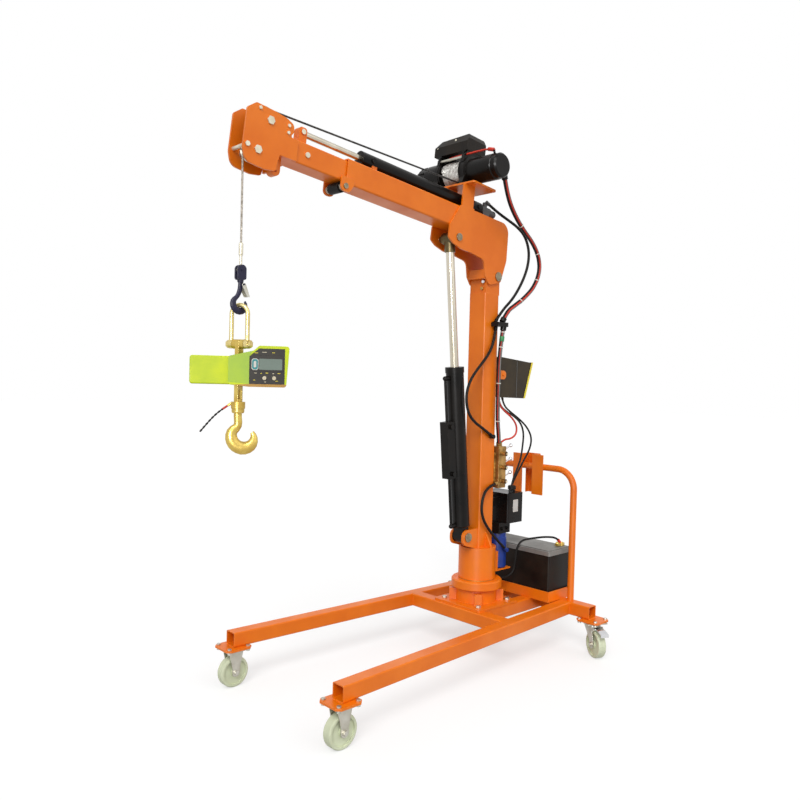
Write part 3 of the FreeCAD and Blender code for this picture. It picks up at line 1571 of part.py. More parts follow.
def winch_tie_bars():
    """Two bars across the drum between the end housings."""
    bars = []
    for turn in (-tie_bar_turn_deg, tie_bar_turn_deg):
        angle = math.radians(turn)
        reach = drum_flange_radius + tie_bar_radius + 3 * slip_gap
        place = winch_centre(drum_low_y) + Vector(reach * math.sin(angle), 0, reach * math.cos(angle))
        bars.append(stub(place, y_axis, tie_bar_radius, drum_high_y - drum_low_y))
    return bars


def winch_end_lugs():
    """Upper lugs of the end housings that take the tie bars and the box."""
    lugs = []
    top = solenoid_low_n
    foot_n = winch_axis_n + end_lug_rise
    shoulder_n = top - end_lug_drop
    for y_low, y_high in ((drum_low_y - end_lug_thick, drum_low_y), (drum_high_y, drum_high_y + end_lug_thick)):
        lug = plate_xz([(winch_axis_s - end_lug_half, foot_n, 0), (winch_axis_s + end_lug_half, foot_n, 0),
                        (winch_axis_s + end_lug_shoulder, shoulder_n, end_lug_corner),
                        (winch_axis_s + end_lug_top, top, 0), (winch_axis_s - end_lug_top, top, 0),
                        (winch_axis_s - end_lug_shoulder, shoulder_n, end_lug_corner)], y_low, y_high)
        lugs.append(lug)
    return lugs


def winch_bridge():
    """Tie bars and housing lugs over the drum."""
    shape = joined(winch_end_lugs() + winch_tie_bars())
    gear = stub(winch_centre(gearbox_low_y), y_axis, gearbox_radius + body_lip, drum_low_y - gearbox_low_y)
    motor = stub(winch_centre(drum_high_y), y_axis, motor_radius + motor_collar_lip, motor_high_y - drum_high_y)
    return on_boom(without(shape, [gear, motor]))


def solenoid_box():
    """Control box on the winch with cut top corners."""
    cut = solenoid_chamfer
    edge = solenoid_corner
    corners = [(solenoid_low_y, solenoid_low_n, edge), (solenoid_high_y, solenoid_low_n, edge),
               (solenoid_high_y, solenoid_high_n - cut, edge),
               (solenoid_high_y - cut * solenoid_front_cut_share, solenoid_high_n, edge),
               (solenoid_low_y + cut, solenoid_high_n - cut * solenoid_rear_cut_share, edge),
               (solenoid_low_y, solenoid_high_n - cut * solenoid_side_cut_share, edge)]
    body = plate_yz(corners, solenoid_rear_s, solenoid_front_s)
    over = solenoid_slope_over
    slope = plate_xz([(solenoid_front_s - solenoid_slope_run, solenoid_high_n + over, 0),
                      (solenoid_front_s + over, solenoid_high_n + over, 0),
                      (solenoid_front_s + over, solenoid_high_n - solenoid_slope_drop, 0)],
                     solenoid_low_y - over, solenoid_high_y + over)
    return on_boom(body.cut(slope))


def clutch_lever():
    """Free-spool lever on the gearbox's end face."""
    centre = winch_centre(gearbox_low_y - slip_gap)
    knob = turned([(0, 0), (clutch_radius, 0), (clutch_radius, clutch_knob_height - clutch_knob_edge),
                   (clutch_radius - clutch_knob_edge, clutch_knob_height), (0, clutch_knob_height)], centre,
                  y_axis * -1)
    arm = box(-clutch_arm_half, clutch_arm_half, -clutch_arm_half - clutch_arm_thick, -clutch_arm_half,
              0, clutch_arm)
    return on_boom(joined([knob, moved(arm, centre)]))


# Hoist rope
def boom_rope():
    """Rope from the drum's underside to the upper sheave's crown."""
    leave = Vector(winch_axis_s + 2 * rope_radius, drum_high_y - drum_flange_thick - 2 * rope_radius,
                   winch_axis_n - wrap_pitch_radius)
    reach = Vector(upper_sheave_s, 0, upper_sheave_n + upper_sheave_pitch) - leave
    along = Vector(reach).normalize()
    return on_boom(stub(leave + along * slip_gap, along, rope_radius, reach.Length - 2 * slip_gap))


def sheave_tangent():
    """Directions where the rope leaves the upper and meets the lower sheave."""
    gap = lower_sheave_point - upper_sheave_point
    distance = gap.Length
    slope = math.atan2(gap.z, gap.x)
    swing = math.asin((upper_sheave_pitch - lower_sheave_pitch) / distance)
    return slope + math.pi / 2 - swing


def head_rope():
    """Rope over the upper sheave, down to the lower one and on to the fall."""
    crown = math.pi / 2 + boom_angle
    leave = sheave_tangent()

    def on(centre, radius, angle):
        return centre + Vector(radius * math.cos(angle), 0, radius * math.sin(angle))

    start = on(upper_sheave_point, upper_sheave_pitch, crown)
    middle = on(upper_sheave_point, upper_sheave_pitch, (crown + leave) / 2)
    end = on(upper_sheave_point, upper_sheave_pitch, leave)
    meet = on(lower_sheave_point, lower_sheave_pitch, leave)
    half = on(lower_sheave_point, lower_sheave_pitch, leave / 2)
    drop = on(lower_sheave_point, lower_sheave_pitch, 0)
    wire = Part.Wire([Part.Arc(start, middle, end).toShape(), Part.makeLine(end, meet),
                      Part.Arc(meet, half, drop).toShape()])
    heading = Vector(math.cos(boom_angle), 0, math.sin(boom_angle))
    shell = Part.BRepOffsetAPI.MakePipeShell(wire)
    shell.add(Part.Wire(Part.Circle(start, heading, rope_radius).toShape()))
    shell.build()
    shell.makeSolid()
    return shell.shape()


fall_top_z = lower_sheave_point.z - fall_top_drop


def fall_rope():
    return stub(Vector(fall_x, 0, ferrule_top_z), z_axis, rope_radius, fall_top_z - ferrule_top_z)


def rope_ferrule():
    """Pressed ferrule over a flattened eye that sits in the hook's clevis."""
    height = ferrule_top_z - ferrule_bottom_z
    body = turned([(0, 0), (ferrule_radius * ferrule_lip_share, 0), (ferrule_radius, ferrule_edge),
                   (ferrule_radius, height - ferrule_edge), (ferrule_radius * ferrule_top_share, height), (0, height)],
                  Vector(fall_x, 0, ferrule_bottom_z), z_axis)
    eye_z = hook_eye_z
    neck = stub(Vector(fall_x, 0, eye_z), z_axis, rope_radius * rope_neck_share, ferrule_bottom_z - eye_z)
    eye = bar(Vector(fall_x, 0, eye_z), y_axis, rope_eye_radius, rope_eye_width)
    hole = bar(Vector(fall_x, 0, eye_z), y_axis, rope_eye_hole, rope_eye_through)
    return in_turn(joined([body, neck, eye]).cut(hole), hook_turn_deg)


def in_turn(shape, degrees):
    """Turn a piece of the hanging gear about the plumb line."""
    return turned_about(shape, Vector(fall_x, 0, 0), z_axis, degrees)


def curved_hook(bowl_z, offset, bowl, bar_radius, shank_top, shank_radius):
    """Forged hook opening to the rear; its section is deepest under the bowl."""
    centre = Vector(fall_x - offset, 0, bowl_z)
    middle = Vector(fall_x, 0, (shank_top + bowl_z) / 2 + bowl)
    places = [Vector(fall_x, 0, shank_top), middle]
    depths = [shank_radius, shank_radius]
    for turn_deg, depth_share in hook_section_shares:
        angle = math.radians(turn_deg)
        outward = Vector(math.cos(angle), 0, math.sin(angle))
        places.append(centre + outward * (bowl + bar_radius * depth_share))
        depths.append(bar_radius * depth_share)
    path = Part.BSplineCurve()
    path.interpolate(places)
    marks = [path.parameter(place) for place in places]
    rings = []
    for k in range(hook_rings + 1):
        mark = marks[0] + (marks[-1] - marks[0]) * k / hook_rings
        j = max(i for i in range(len(marks) - 1) if marks[i] <= mark)
        share = (mark - marks[j]) / (marks[j + 1] - marks[j])
        depth = depths[j] + (depths[j + 1] - depths[j]) * share
        width = max(depth * hook_flat_share, bar_radius * hook_flat_share / 3)
        rings.append(oval_ring(path.value(mark), Vector(path.tangent(mark)[0]), depth, width))
    return Part.makeLoft(rings, True, True)


def oval_ring(place, heading, depth, width):
    """An oval section, deep in the hook's own plane."""
    across = heading.cross(y_axis).normalize()
    points = []
    for k in range(hook_ring_points):
        angle = 2 * math.pi * k / hook_ring_points
        points.append(place + across * (depth * math.cos(angle)) + y_axis * (width * math.sin(angle)))
    curve = Part.BSplineCurve()
    curve.interpolate(points, PeriodicFlag=True)
    return Part.Wire(curve.toShape())


def winch_hook():
    """Clevis hook: two prongs round the rope's eye, shank and bowl."""
    gap = hook_prong_gap
    far = gap + hook_prong_thick
    hook = curved_hook(hook_bowl_z, hook_bowl_offset, hook_bowl_radius, hook_bar_radius, hook_eye_z - hook_neck_drop,
                       hook_bar_radius * 0.7)
    half = hook_clevis_half
    prong = plate_xz([(fall_x - half, hook_eye_z - hook_neck_drop, half / 2),
                      (fall_x + half, hook_eye_z - hook_neck_drop, half / 2),
                      (fall_x + half, hook_eye_z + half, half * 0.9),
                      (fall_x - half, hook_eye_z + half, half * 0.9)], gap, far)
    base = turned([(0, 0), (hook_bar_radius * 0.8, 0), (far, half * 0.7), (far, 2 * half * 0.8), (0, 2 * half * 0.8)],
                  Vector(fall_x, 0, hook_eye_z - hook_neck_drop - half * 0.5), z_axis)
    pin = bar(Vector(fall_x, 0, hook_eye_z), y_axis, gap, 2 * far + gap)
    latch_pin = bar(hook_latch_place(), y_axis, latch_pin_radius, 2 * latch_half + 4 * latch_pin_radius)
    boss = bar(hook_latch_place(), y_axis, 2 * latch_pin_radius, 2 * (latch_half - latch_sheet) - 2 * slip_gap)
    return in_turn(joined([hook, prong, mirrored_y(prong), base, pin, latch_pin, boss]), hook_turn_deg)


def hook_latch_place():
    return Vector(fall_x - latch_back, 0, hook_latch_z)


def hook_latch():
    """Sprung sheet latch across the hook's mouth."""
    place = hook_latch_place()
    half = latch_sheet * 2.5
    end = Vector(fall_x - latch_reach, 0, latch_low_z)
    cheek = plate_xz([(place.x + half, place.z + half, half * 0.9), (place.x + half, place.z - half, 0),
                      (end.x + half, end.z, 2), (end.x - half, end.z, 2),
                      (place.x - half * 1.5, place.z + half, half * 0.9)], latch_half - latch_sheet, latch_half)
    web = plate_xz([(end.x - half, end.z, 0), (end.x - half + latch_sheet, end.z, 0),
                    (place.x - half * 1.5 + latch_sheet, place.z - 2 * half, 0),
                    (place.x - half * 1.5, place.z - 2 * half, 0)], -latch_half, latch_half)
    bore = bar(place, y_axis, latch_pin_radius + running_fit, 4 * latch_half)
    return in_turn(joined([cheek, mirrored_y(cheek), web]).cut(bore), hook_turn_deg)


def load_shackle():
    """Bow shackle: arch, straight legs and eyes for the pin."""
    r = shackle_inner_radius + shackle_bar_radius
    top = shackle_crown_z - shackle_bar_radius
    arch_z = top - r
    left = Vector(fall_x - r, 0, shackle_pin_z)
    left_up = Vector(fall_x - r, 0, arch_z)
    crown = Vector(fall_x, 0, arch_z + r)
    right_up = Vector(fall_x + r, 0, arch_z)
    right = Vector(fall_x + r, 0, shackle_pin_z)
    wire = Part.Wire([Part.makeLine(left, left_up), Part.Arc(left_up, crown, right_up).toShape(),
                      Part.makeLine(right_up, right)])
    shell = Part.BRepOffsetAPI.MakePipeShell(wire)
    shell.add(Part.Wire(Part.Circle(left, z_axis, shackle_bar_radius).toShape()))
    shell.build()
    shell.makeSolid()
    eyes = [bar(Vector(fall_x + side * r, 0, shackle_pin_z), x_axis, shackle_eye_radius,
                shackle_eye_length) for side in (-1, 1)]
    hole = bar(Vector(fall_x, 0, shackle_pin_z), x_axis, shackle_pin_radius, 4 * r)
    return in_turn(joined([shell.shape()] + eyes).cut(hole), shackle_turn_deg)


shackle_crown_z = hook_bowl_z - hook_bowl_radius + 2 * shackle_bar_radius + 2 * slip_gap


def shackle_pin():
    r = shackle_inner_radius + shackle_bar_radius
    centre = Vector(fall_x, 0, shackle_pin_z)
    pin = bar(centre, x_axis, shackle_pin_radius, 2 * r + shackle_pin_over)
    head = hexagon(centre + x_axis * (r + shackle_head_height), x_axis, shackle_head_radius,
                   shackle_head_height)
    nut = hexagon(centre - x_axis * (r + 2 * shackle_head_height), x_axis, shackle_head_radius,
                  shackle_head_height)
    return in_turn(joined([pin, head, nut]), shackle_turn_deg)


# Load scale
def scale_frame():
    """Load link: eye on the shackle pin down to the swivel's socket."""
    half = frame_bar_half
    depth = frame_bar_depth / 2
    crown = half * frame_top_corner_share
    link = plate_yz([(-half, frame_bottom_z, frame_corner), (half, frame_bottom_z, frame_corner),
                     (half, frame_top_z, crown), (-half, frame_top_z, crown)], fall_x - depth, fall_x + depth)
    boss = bar(Vector(fall_x, 0, shackle_pin_z), x_axis, half, 2 * (shackle_inner_radius - 2 * slip_gap))
    pin_hole = bar(Vector(fall_x, 0, shackle_pin_z), x_axis, shackle_pin_radius + running_fit, 4 * half)
    link = in_turn(joined([link, boss]).cut(pin_hole), shackle_turn_deg)
    socket_z = frame_bottom_z + frame_socket_height / 2
    socket = bar(Vector(fall_x, 0, socket_z), z_axis, frame_socket_radius, frame_socket_height)
    well = bar(Vector(fall_x, 0, socket_z), z_axis, swivel_neck_radius + running_fit, 2 * frame_socket_height)
    room = bar(Vector(fall_x, 0, socket_z + frame_socket_height + swivel_nut_height), z_axis,
               swivel_nut_radius + slip_gap, frame_socket_height + 2 * swivel_nut_height + 2 * slip_gap)
    return without(joined([link, socket, gland(pigtail_points(), 0, pigtail_radius)]), [well, room])


def in_scale(shape):
    return turned_about(shape, Vector(fall_x, 0, 0), z_axis, load_hook_turn_deg)


def scale_housing():
    """Battery arm to the front, shoulder round the link and the display head behind."""
    front = fall_x + scale_shoulder
    arm = plate_xz([(fall_x + scale_arm_reach, scale_arm_low_z, scale_corner),
                    (fall_x + scale_arm_reach, scale_arm_high_z, scale_corner),
                    (fall_x, scale_arm_high_z, 0), (fall_x, scale_arm_low_z, 0)],
                   -scale_arm_depth / 2, scale_arm_depth / 2)
    arm = arm.makeFillet(arm_round, [e for e in arm.Edges if e.BoundBox.YLength < slip_gap
                                            and e.BoundBox.XMax > front])
    half = scale_head_depth / 2
    head = plate_xz([(front, scale_arm_low_z, scale_corner), (front, scale_arm_high_z, scale_corner),
                     (fall_x - scale_neck_rear, scale_neck_z, scale_corner),
                     (fall_x - scale_neck_rear - 2 * scale_corner, scale_head_high_z, scale_corner),
                     (fall_x - scale_head_reach, scale_head_high_z, scale_corner),
                     (fall_x - scale_head_reach + scale_corner, scale_head_low_z, scale_corner),
                     (fall_x - scale_shoulder, scale_head_low_z, scale_corner)], -half, half)
    recess = scale_panel_block(0, half - scale_panel_depth, half + overrun)
    shape = in_scale(joined([arm, head]).cut(recess))
    slot_x = frame_bar_depth / 2 + slip_gap
    slot_y = frame_bar_half + slip_gap
    slot = box(fall_x - slot_x, fall_x + slot_x, -slot_y, slot_y, 0, 2 * frame_top_z)
    return shape.cut(in_turn(slot, shackle_turn_deg))


def scale_panel_block(inset, y_low, y_high):
    """Outline of the display panel, cut back at its upper front corner."""
    rear = fall_x - scale_head_reach + scale_corner * 1.6 + inset
    front = fall_x - scale_shoulder - inset
    low = scale_head_low_z + scale_corner + inset
    high = scale_head_high_z - scale_corner - inset
    return plate_xz([(rear, low, 0), (front, low, 0), (front, scale_neck_z - 2 * scale_corner, 0),
                     (fall_x - scale_neck_rear - 2 * scale_corner, high, 0), (rear, high, 0)], y_low, y_high)


def button_spots():
    low = scale_head_low_z + scale_button_rise
    middle = fall_x - (scale_head_reach + scale_shoulder) / 2
    return [Vector(middle + side * scale_button_pitch / 2, scale_head_depth / 2, low) for side in (-1, 1)]


def scale_display():
    """Dark front panel with its raised window, let into the head's recess."""
    front = scale_head_depth / 2
    panel = scale_panel_block(running_fit, front - scale_panel_depth, front - scale_panel_depth / 4)
    bound = panel.BoundBox
    window = box(bound.XMin + scale_corner, bound.XMax - 2 * scale_corner, front - scale_panel_depth / 2, front,
                 scale_head_low_z + scale_window_low, scale_head_low_z + scale_window_high)
    shape = joined([panel, window])
    for spot in button_spots():
        shape = shape.cut(bar(spot, y_axis, scale_button_radius + slip_gap, 4 * scale_panel_depth))
    return in_scale(shape)


def scale_button(k):
    """Round key that travels into the panel."""
    start = button_spots()[k] + y_axis * (scale_button_travel + slip_gap - scale_panel_depth)
    return in_scale(stub(start, y_axis, scale_button_radius, scale_panel_depth))


def pigtail_points():
    return [(fall_x + dx, y, frame_bottom_z + dz) for dx, y, dz in pigtail_route]


def load_hook():
    """Swivelling gold hook with its collar, neck and nut."""
    collar_top = frame_bottom_z - slip_gap
    collar_low = collar_top - swivel_collar_height
    hook = curved_hook(load_bowl_z, load_bowl_offset, load_bowl_radius, load_bar_radius, collar_low,
                       load_bar_radius * 0.6)
    nut_low = frame_bottom_z + frame_socket_height + slip_gap
    spindle = turned([(0, 0), (frame_socket_radius * 0.8, 0), (frame_socket_radius * 0.9, swivel_collar_height * 0.3),
                      (frame_socket_radius * 0.9, swivel_collar_height), (swivel_neck_radius, swivel_collar_height),
                      (swivel_neck_radius, nut_low - collar_low), (swivel_nut_radius, nut_low - collar_low),
                      (swivel_nut_radius, nut_low - collar_low + swivel_nut_height),
                      (0, nut_low - collar_low + swivel_nut_height)], Vector(fall_x, 0, collar_low), z_axis)
    return in_turn(joined([hook, spindle]), load_hook_turn_deg)


def pigtail_cord():
    """Short twisted lead that sticks out under the scale."""
    return hose("pigtail_cord", pigtail_points(), pigtail_radius)


# Push handle and the parts behind the mast
def handle_path(radius):
    low = Vector(rear_beam_x, handle_half, frame_top)
    up = Vector(rear_beam_x, handle_half, handle_top - handle_bend)
    corner = handle_bend * (1 - math.sqrt(0.5))
    mid = Vector(rear_beam_x, handle_half - corner, handle_top - corner)
    over = Vector(rear_beam_x, handle_half - handle_bend, handle_top)
    edges = [Part.makeLine(low, up), Part.Arc(up, mid, over).toShape(),
             Part.makeLine(over, Vector(over.x, -over.y, over.z)),
             Part.Arc(Vector(over.x, -over.y, over.z), Vector(mid.x, -mid.y, mid.z),
                      Vector(up.x, -up.y, up.z)).toShape(),
             Part.makeLine(Vector(up.x, -up.y, up.z), Vector(low.x, -low.y, low.z))]
    shell = Part.BRepOffsetAPI.MakePipeShell(Part.Wire(edges))
    shell.add(Part.Wire(Part.Circle(low, z_axis, radius).toShape()))
    shell.build()
    shell.makeSolid()
    return shell.shape()


def push_handle():
    return handle_path(handle_radius).cut(handle_path(handle_radius - handle_wall))


def handle_guard():
    """Folded sheet hung over the handle's top bar by its two slotted flanges."""
    t = guard_sheet
    front = guard_front_x
    rear = guard_front_x - guard_depth
    low = guard_bottom_z
    high = guard_bottom_z + guard_height
    pieces = [box(front - t, front, guard_left_y, guard_fold_a_y, low, high),
              box(rear, front, guard_fold_a_y - t, guard_fold_a_y, low, high),
              box(rear, rear + t, guard_fold_a_y - t, guard_fold_b_y + t, low, high),
              box(rear, front, guard_fold_b_y, guard_fold_b_y + t, low, high),
              box(front - t, front, guard_fold_b_y, guard_right_y, low, high)]
    shape = joined(pieces)
    bar_hole = bar(Vector(rear_beam_x, 0, handle_top), y_axis, handle_radius, 4 * guard_depth)
    slot = box(rear_beam_x - handle_radius, rear_beam_x + handle_radius, guard_left_y, guard_right_y,
               low - overrun, handle_top)
    return without(shape, [bar_hole, slot])


def battery_tray():
    """Angle-iron tray on the rear of the frame."""
    t = tray_sheet
    high = frame_top + tray_angle
    outer = box(tray_rear_x, tray_front_x, -tray_half, tray_half, frame_top, high)
    inner = box(tray_rear_x + t, tray_front_x - t, -tray_half + t, tray_half - t, frame_top + t, high + overrun)
    window = box(tray_rear_x + tray_angle, tray_front_x - tray_angle, -tray_half + tray_angle,
                 tray_half - tray_angle, frame_top - overrun, high)
    return without(outer, [inner, window])


battery_low = frame_top + tray_sheet


def battery_box(inset, z_low, z_high, corner):
    t = tray_sheet + battery_gap + inset
    return plate_xy([(tray_rear_x + t, -tray_half + t, corner), (tray_front_x - t, -tray_half + t, corner),
                     (tray_front_x - t, tray_half - t, corner), (tray_rear_x + t, tray_half - t, corner)],
                    z_low, z_high)


def battery_case():
    top = battery_low + battery_height - battery_lid
    return battery_box(battery_rim, battery_low, top, battery_rim * 2)


def battery_lid_piece():
    low = battery_low + battery_height - battery_lid
    high = battery_low + battery_height
    lid = joined([battery_box(0, low, high - battery_rim, battery_rim * 2),
                  battery_box(battery_rim * 3, high - battery_rim, high, battery_rim * 2)])
    return lid


def terminal_places():
    x = tray_rear_x + terminal_inset
    z = battery_low + battery_height
    return [Vector(x, side * terminal_y, z) for side in (-1, 1)]


def battery_terminals():
    """Posts with their clamped cable lugs."""
    pieces = []
    for place in terminal_places():
        post = turned([(0, 0), (terminal_radius, 0), (terminal_radius * terminal_top_share, terminal_height),
                       (0, terminal_height)], place, z_axis)
        low = place.z + clamp_rise
        top = low + clamp_height
        clamp = washer(place + z_axis * clamp_rise, z_axis, clamp_radius, terminal_radius * clamp_bore_share,
                       clamp_height)
        tongue = box(place.x, place.x + clamp_tongue_length, place.y - clamp_tongue_half,
                     place.y + clamp_tongue_half, low, top)
        bolt = hexagon(Vector(place.x + clamp_bolt_reach, place.y, top), z_axis, clamp_bolt_radius,
                       clamp_bolt_height)
        pieces.append(joined([post, clamp, tongue, bolt]))
    return group(pieces)


# Hydraulic power unit
def pump_shelf():
    """Folded shelf bolted to the sleeve."""
    t = shelf_thick
    top = shelf_z + t
    seat = box(-shelf_reach, -sleeve_radius + sleeve_wall, -shelf_half, shelf_half, shelf_z, top)
    flange = box(-sleeve_radius - t, -sleeve_radius + sleeve_wall, -shelf_half, shelf_half, shelf_z,
                 shelf_z + shelf_flange_height)
    skin = stub(Vector(0, 0, 0), z_axis, sleeve_radius, column_top)
    shape = joined([seat, flange]).cut(skin)
    bolts = []
    for y in (-shelf_half + shelf_bolt_inset, shelf_half - shelf_bolt_inset):
        for rise in shelf_bolt_rises:
            bolts.append(stub(Vector(-sleeve_radius - t - cap_bolt_height, y, shelf_z + rise), x_axis, cap_bolt_radius,
                              cap_bolt_height))
    return joined([shape] + bolts)


motor_low = shelf_z + shelf_thick
motor_top = motor_low + motor_unit_height + motor_cap_height
block_top = motor_top + pump_block_height


def pump_motor():
    """Upright motor can with its end caps."""
    start = Vector(motor_x, motor_y, motor_low)
    r = motor_unit_radius
    lid = r * motor_lid_share
    body = turned([(0, 0), (r * motor_foot_share, 0), (r, motor_foot_edge), (r, motor_unit_height),
                   (lid, motor_unit_height + motor_lid_step), (lid, motor_unit_height + motor_cap_height),
                   (0, motor_unit_height + motor_cap_height)], start, z_axis)
    tip = gland(lower_route, -1, hose_radius)
    far = gland_end(lower_route, -1)
    boss = stub(Vector(far.x, motor_y, far.z), y_axis, elbow_radius, far.y - motor_y + hose_radius)
    return joined([body, boss, tip])


def pump_block():
    """Gear-pump manifold between the motor and the tank."""
    h = pump_block_half
    body = box(motor_x - h, motor_x + h, motor_y - h, motor_y + h, motor_top, tank_low_z)
    ports = [stub(Vector(motor_x + shift, motor_y + h, motor_top + port_rise), y_axis, port_radius, port_length)
             for shift in port_shifts]
    return joined([body] + ports)


def oil_tank():
    corners = [(tank_rear_x, -tank_half, tank_corner), (tank_front_x, -tank_half, tank_corner),
               (tank_front_x, tank_half, tank_corner), (tank_rear_x, tank_half, tank_corner)]
    body = plate_xy(corners, tank_low_z, tank_high_z)
    strap = box(tank_front_x, -column_size / 2, -tank_strap_half, tank_strap_half,
                tank_high_z - tank_strap_low, tank_high_z - tank_strap_high)
    neck = stub(Vector(tank_rear_x + tank_neck_inset, tank_neck_y, tank_high_z), z_axis, tank_neck_radius,
                tank_neck_height)
    ends = [gland(control_routes[k], -1, cable_radius) for k in (1, 2)]
    return joined([body, strap, neck] + ends)


def tank_cap():
    place = Vector(tank_rear_x + tank_neck_inset, tank_neck_y, tank_high_z + tank_neck_height)
    r = tank_neck_radius + cap_lip
    return turned([(0, 0), (r, 0), (r, cap_edge_height), (r - cap_edge, cap_height), (0, cap_height)], place,
                  z_axis)


def valve_block():
    """Stacked spool valve on the column's back corner."""
    body = box(valve_rear_x, valve_front_x, valve_low_y, valve_high_y, valve_low_z, valve_high_z)
    mount = box(valve_front_x, -column_size / 2, valve_low_y, column_size / 2 - column_corner,
                valve_low_z + valve_mount_inset, valve_high_z - valve_mount_inset)
    pieces = [body, mount]
    for z in spool_heights():
        cap = stub(Vector((valve_front_x + valve_rear_x) / 2, valve_high_y, z), y_axis, spool_radius, spool_length)
        tip = stub(Vector((valve_front_x + valve_rear_x) / 2, valve_high_y + spool_length, z), y_axis,
                   spool_radius * spool_tip_share, spool_tip_length)
        pieces += [cap, tip]
    pieces += [gland(column_route, -1, bundle_radius), gland(lower_route, 0, hose_radius),
               gland(control_routes[0], -1, cable_radius)]
    shape = joined(pieces)
    for k in range(spool_count):
        place = lever_place(k)
        shape = shape.cut(box(place.x - 2 * lever_boss_radius, place.x + lever_boss_radius + slip_gap * 2,
                              place.y - lever_slot_half, place.y + lever_slot_half,
                              place.z - lever_boss_radius - lever_slot_over,
                              place.z + lever_boss_radius + lever_slot_over))
        shape = shape.fuse(bar(place, y_axis, lever_pin_radius, lever_pin_length))
    return shape


def spool_heights():
    step = (valve_high_z - valve_low_z) / spool_count
    return [valve_low_z + step / 2 + step * k for k in range(spool_count)]


def lever_place(k):
    return Vector(valve_rear_x + lever_boss_radius * lever_boss_share, valve_low_y + lever_inset_y,
                  spool_heights()[k])


def valve_lever(k):
    """Hand lever that pushes one spool, with its ball grip."""
    place = lever_place(k)
    lean = Vector(*lever_lean).normalize()
    boss = bar(place, y_axis, lever_boss_radius, lever_boss_length)
    arm = stub(place, lean, lever_radius, lever_length)
    end = place + lean * lever_length
    grip = Part.makeSphere(lever_radius * lever_ball_share, end)
    hole = bar(place, y_axis, lever_pin_radius + running_fit, 2 * lever_pin_length)
    return joined([boss, arm, grip]).cut(hole)


# Operator's box
def control_box():
    """Moulded box that faces the operator, with its lid behind."""
    case = plate_xz([(box_front_x, box_front_low_z, box_corner), (box_front_x, box_front_top_z, box_corner),
                     (box_rear_top_x + box_lid, box_rear_top_z, 0), (box_rear_low_x + box_lid, box_rear_low_z, 0)],
                    box_low_y, box_high_y)
    lip = box_lid_lip
    lean = lip * (box_rear_top_x - box_rear_low_x) / (box_rear_top_z - box_rear_low_z)
    lid = plate_xz([(box_rear_low_x + box_lid - lean, box_rear_low_z - lip, 0),
                    (box_rear_top_x + box_lid + lean, box_rear_top_z + lip, 0),
                    (box_rear_top_x + lean, box_rear_top_z + lip, lip),
                    (box_rear_low_x - lean, box_rear_low_z - lip, lip)],
                   box_low_y - lip, box_high_y + lip)
    glands = [gland(route, 0, cable_radius) for route in control_routes]
    return group([joined([case] + glands), lid])


def box_bracket():
    """Fork of two round-ended arms that carries the box on the column's back."""
    t = box_arm_thick
    rear = -column_size / 2
    low = box_arm_z - box_arm_radius
    high = box_arm_z + box_arm_radius
    end = -box_arm_reach
    arm = plate_xz([(end, low, box_arm_radius * 0.95), (rear - t, low, 0), (rear - t, high, 0),
                    (end, high, box_arm_radius * 0.95)], box_high_y, box_high_y + t)
    far_arm = moved(arm, Vector(0, box_low_y - box_high_y - t, 0))
    back = box(rear - t, rear, box_low_y - t, box_high_y + t, low, high)
    knob = stub(Vector(end + box_arm_radius, box_high_y + t, box_arm_z), y_axis, cap_bolt_radius, cap_bolt_height)
    return joined([arm, far_arm, back, knob])


def hose_clips():
    """Clip block on the column's near face and the loop's lower elbow."""
    block = box(clip_rear_x, clip_front_x, column_size / 2, clip_high_y, clip_low_z, clip_high_z)
    glands = [gland(bundle_route, -1, bundle_radius), gland(telescope_route, -1, hose_radius),
              gland(column_route, 0, bundle_radius), gland(loop_route, 0, hose_radius)]
    elbow = stub(Vector(loop_elbow_x, column_size / 2, loop_elbow_z), y_axis, elbow_radius, elbow_reach)
    return group([joined([block] + glands), joined([elbow, gland(loop_route, -1, hose_radius)])])


def gland_way(route, end):
    if end == 0:
        return Vector(*route[0]), (Vector(*route[0]) - Vector(*route[1])).normalize()
    return Vector(*route[-1]), (Vector(*route[-1]) - Vector(*route[-2])).normalize()


def gland(route, end, radius):
    """Collar that meets a hose's end face to face."""
    tip, outward = gland_way(route, end)
    return stub(tip, outward, radius * gland_share, gland_length)


def gland_end(route, end):
    tip, outward = gland_way(route, end)
    return tip + outward * gland_length


def luff_hoses():
    """The two hoses that bridge the boom's pivot."""
    return group([hose("bundle", bundle_route, bundle_radius), hose("telescope hose", telescope_route, hose_radius)])


def mast_hoses():
    """Hoses and cables that stay on the mast."""
    pieces = [hose("column hose", column_route, bundle_radius), hose("loop", loop_route, hose_radius),
              hose("lower hose", lower_route, hose_radius)]
    for k in range(len(control_routes)):
        pieces.append(hose("control cable " + str(k + 1), control_routes[k], cable_radius))
    return group(pieces)


def castor_mounts():
    """Rigid forks, swivel heads and every bolt of the frame's corners and pedestal."""
    pieces = []
    for side in (-1, 1):
        pieces += [front_castor(rigid_fork(), side), front_castor(axle_bolt(0), side),
                   rear_castor(swivel_head(), side)]
    return group(pieces + castor_bolts().Solids + hub_bolts().Solids)


def rear_fork(side):
    return group([rear_castor(swivel_fork(), side), rear_castor(axle_bolt(swivel_trail), side)])


def scale_link():
    return group([load_shackle(), shackle_pin(), scale_frame()])


def placed(shape):
    """Move a finished piece from the slewing axis to the footprint's middle."""
    return moved(shape, frame_shift)


def save(name, shape):
    placed(shape).exportStep("parts/" + name + ".step")


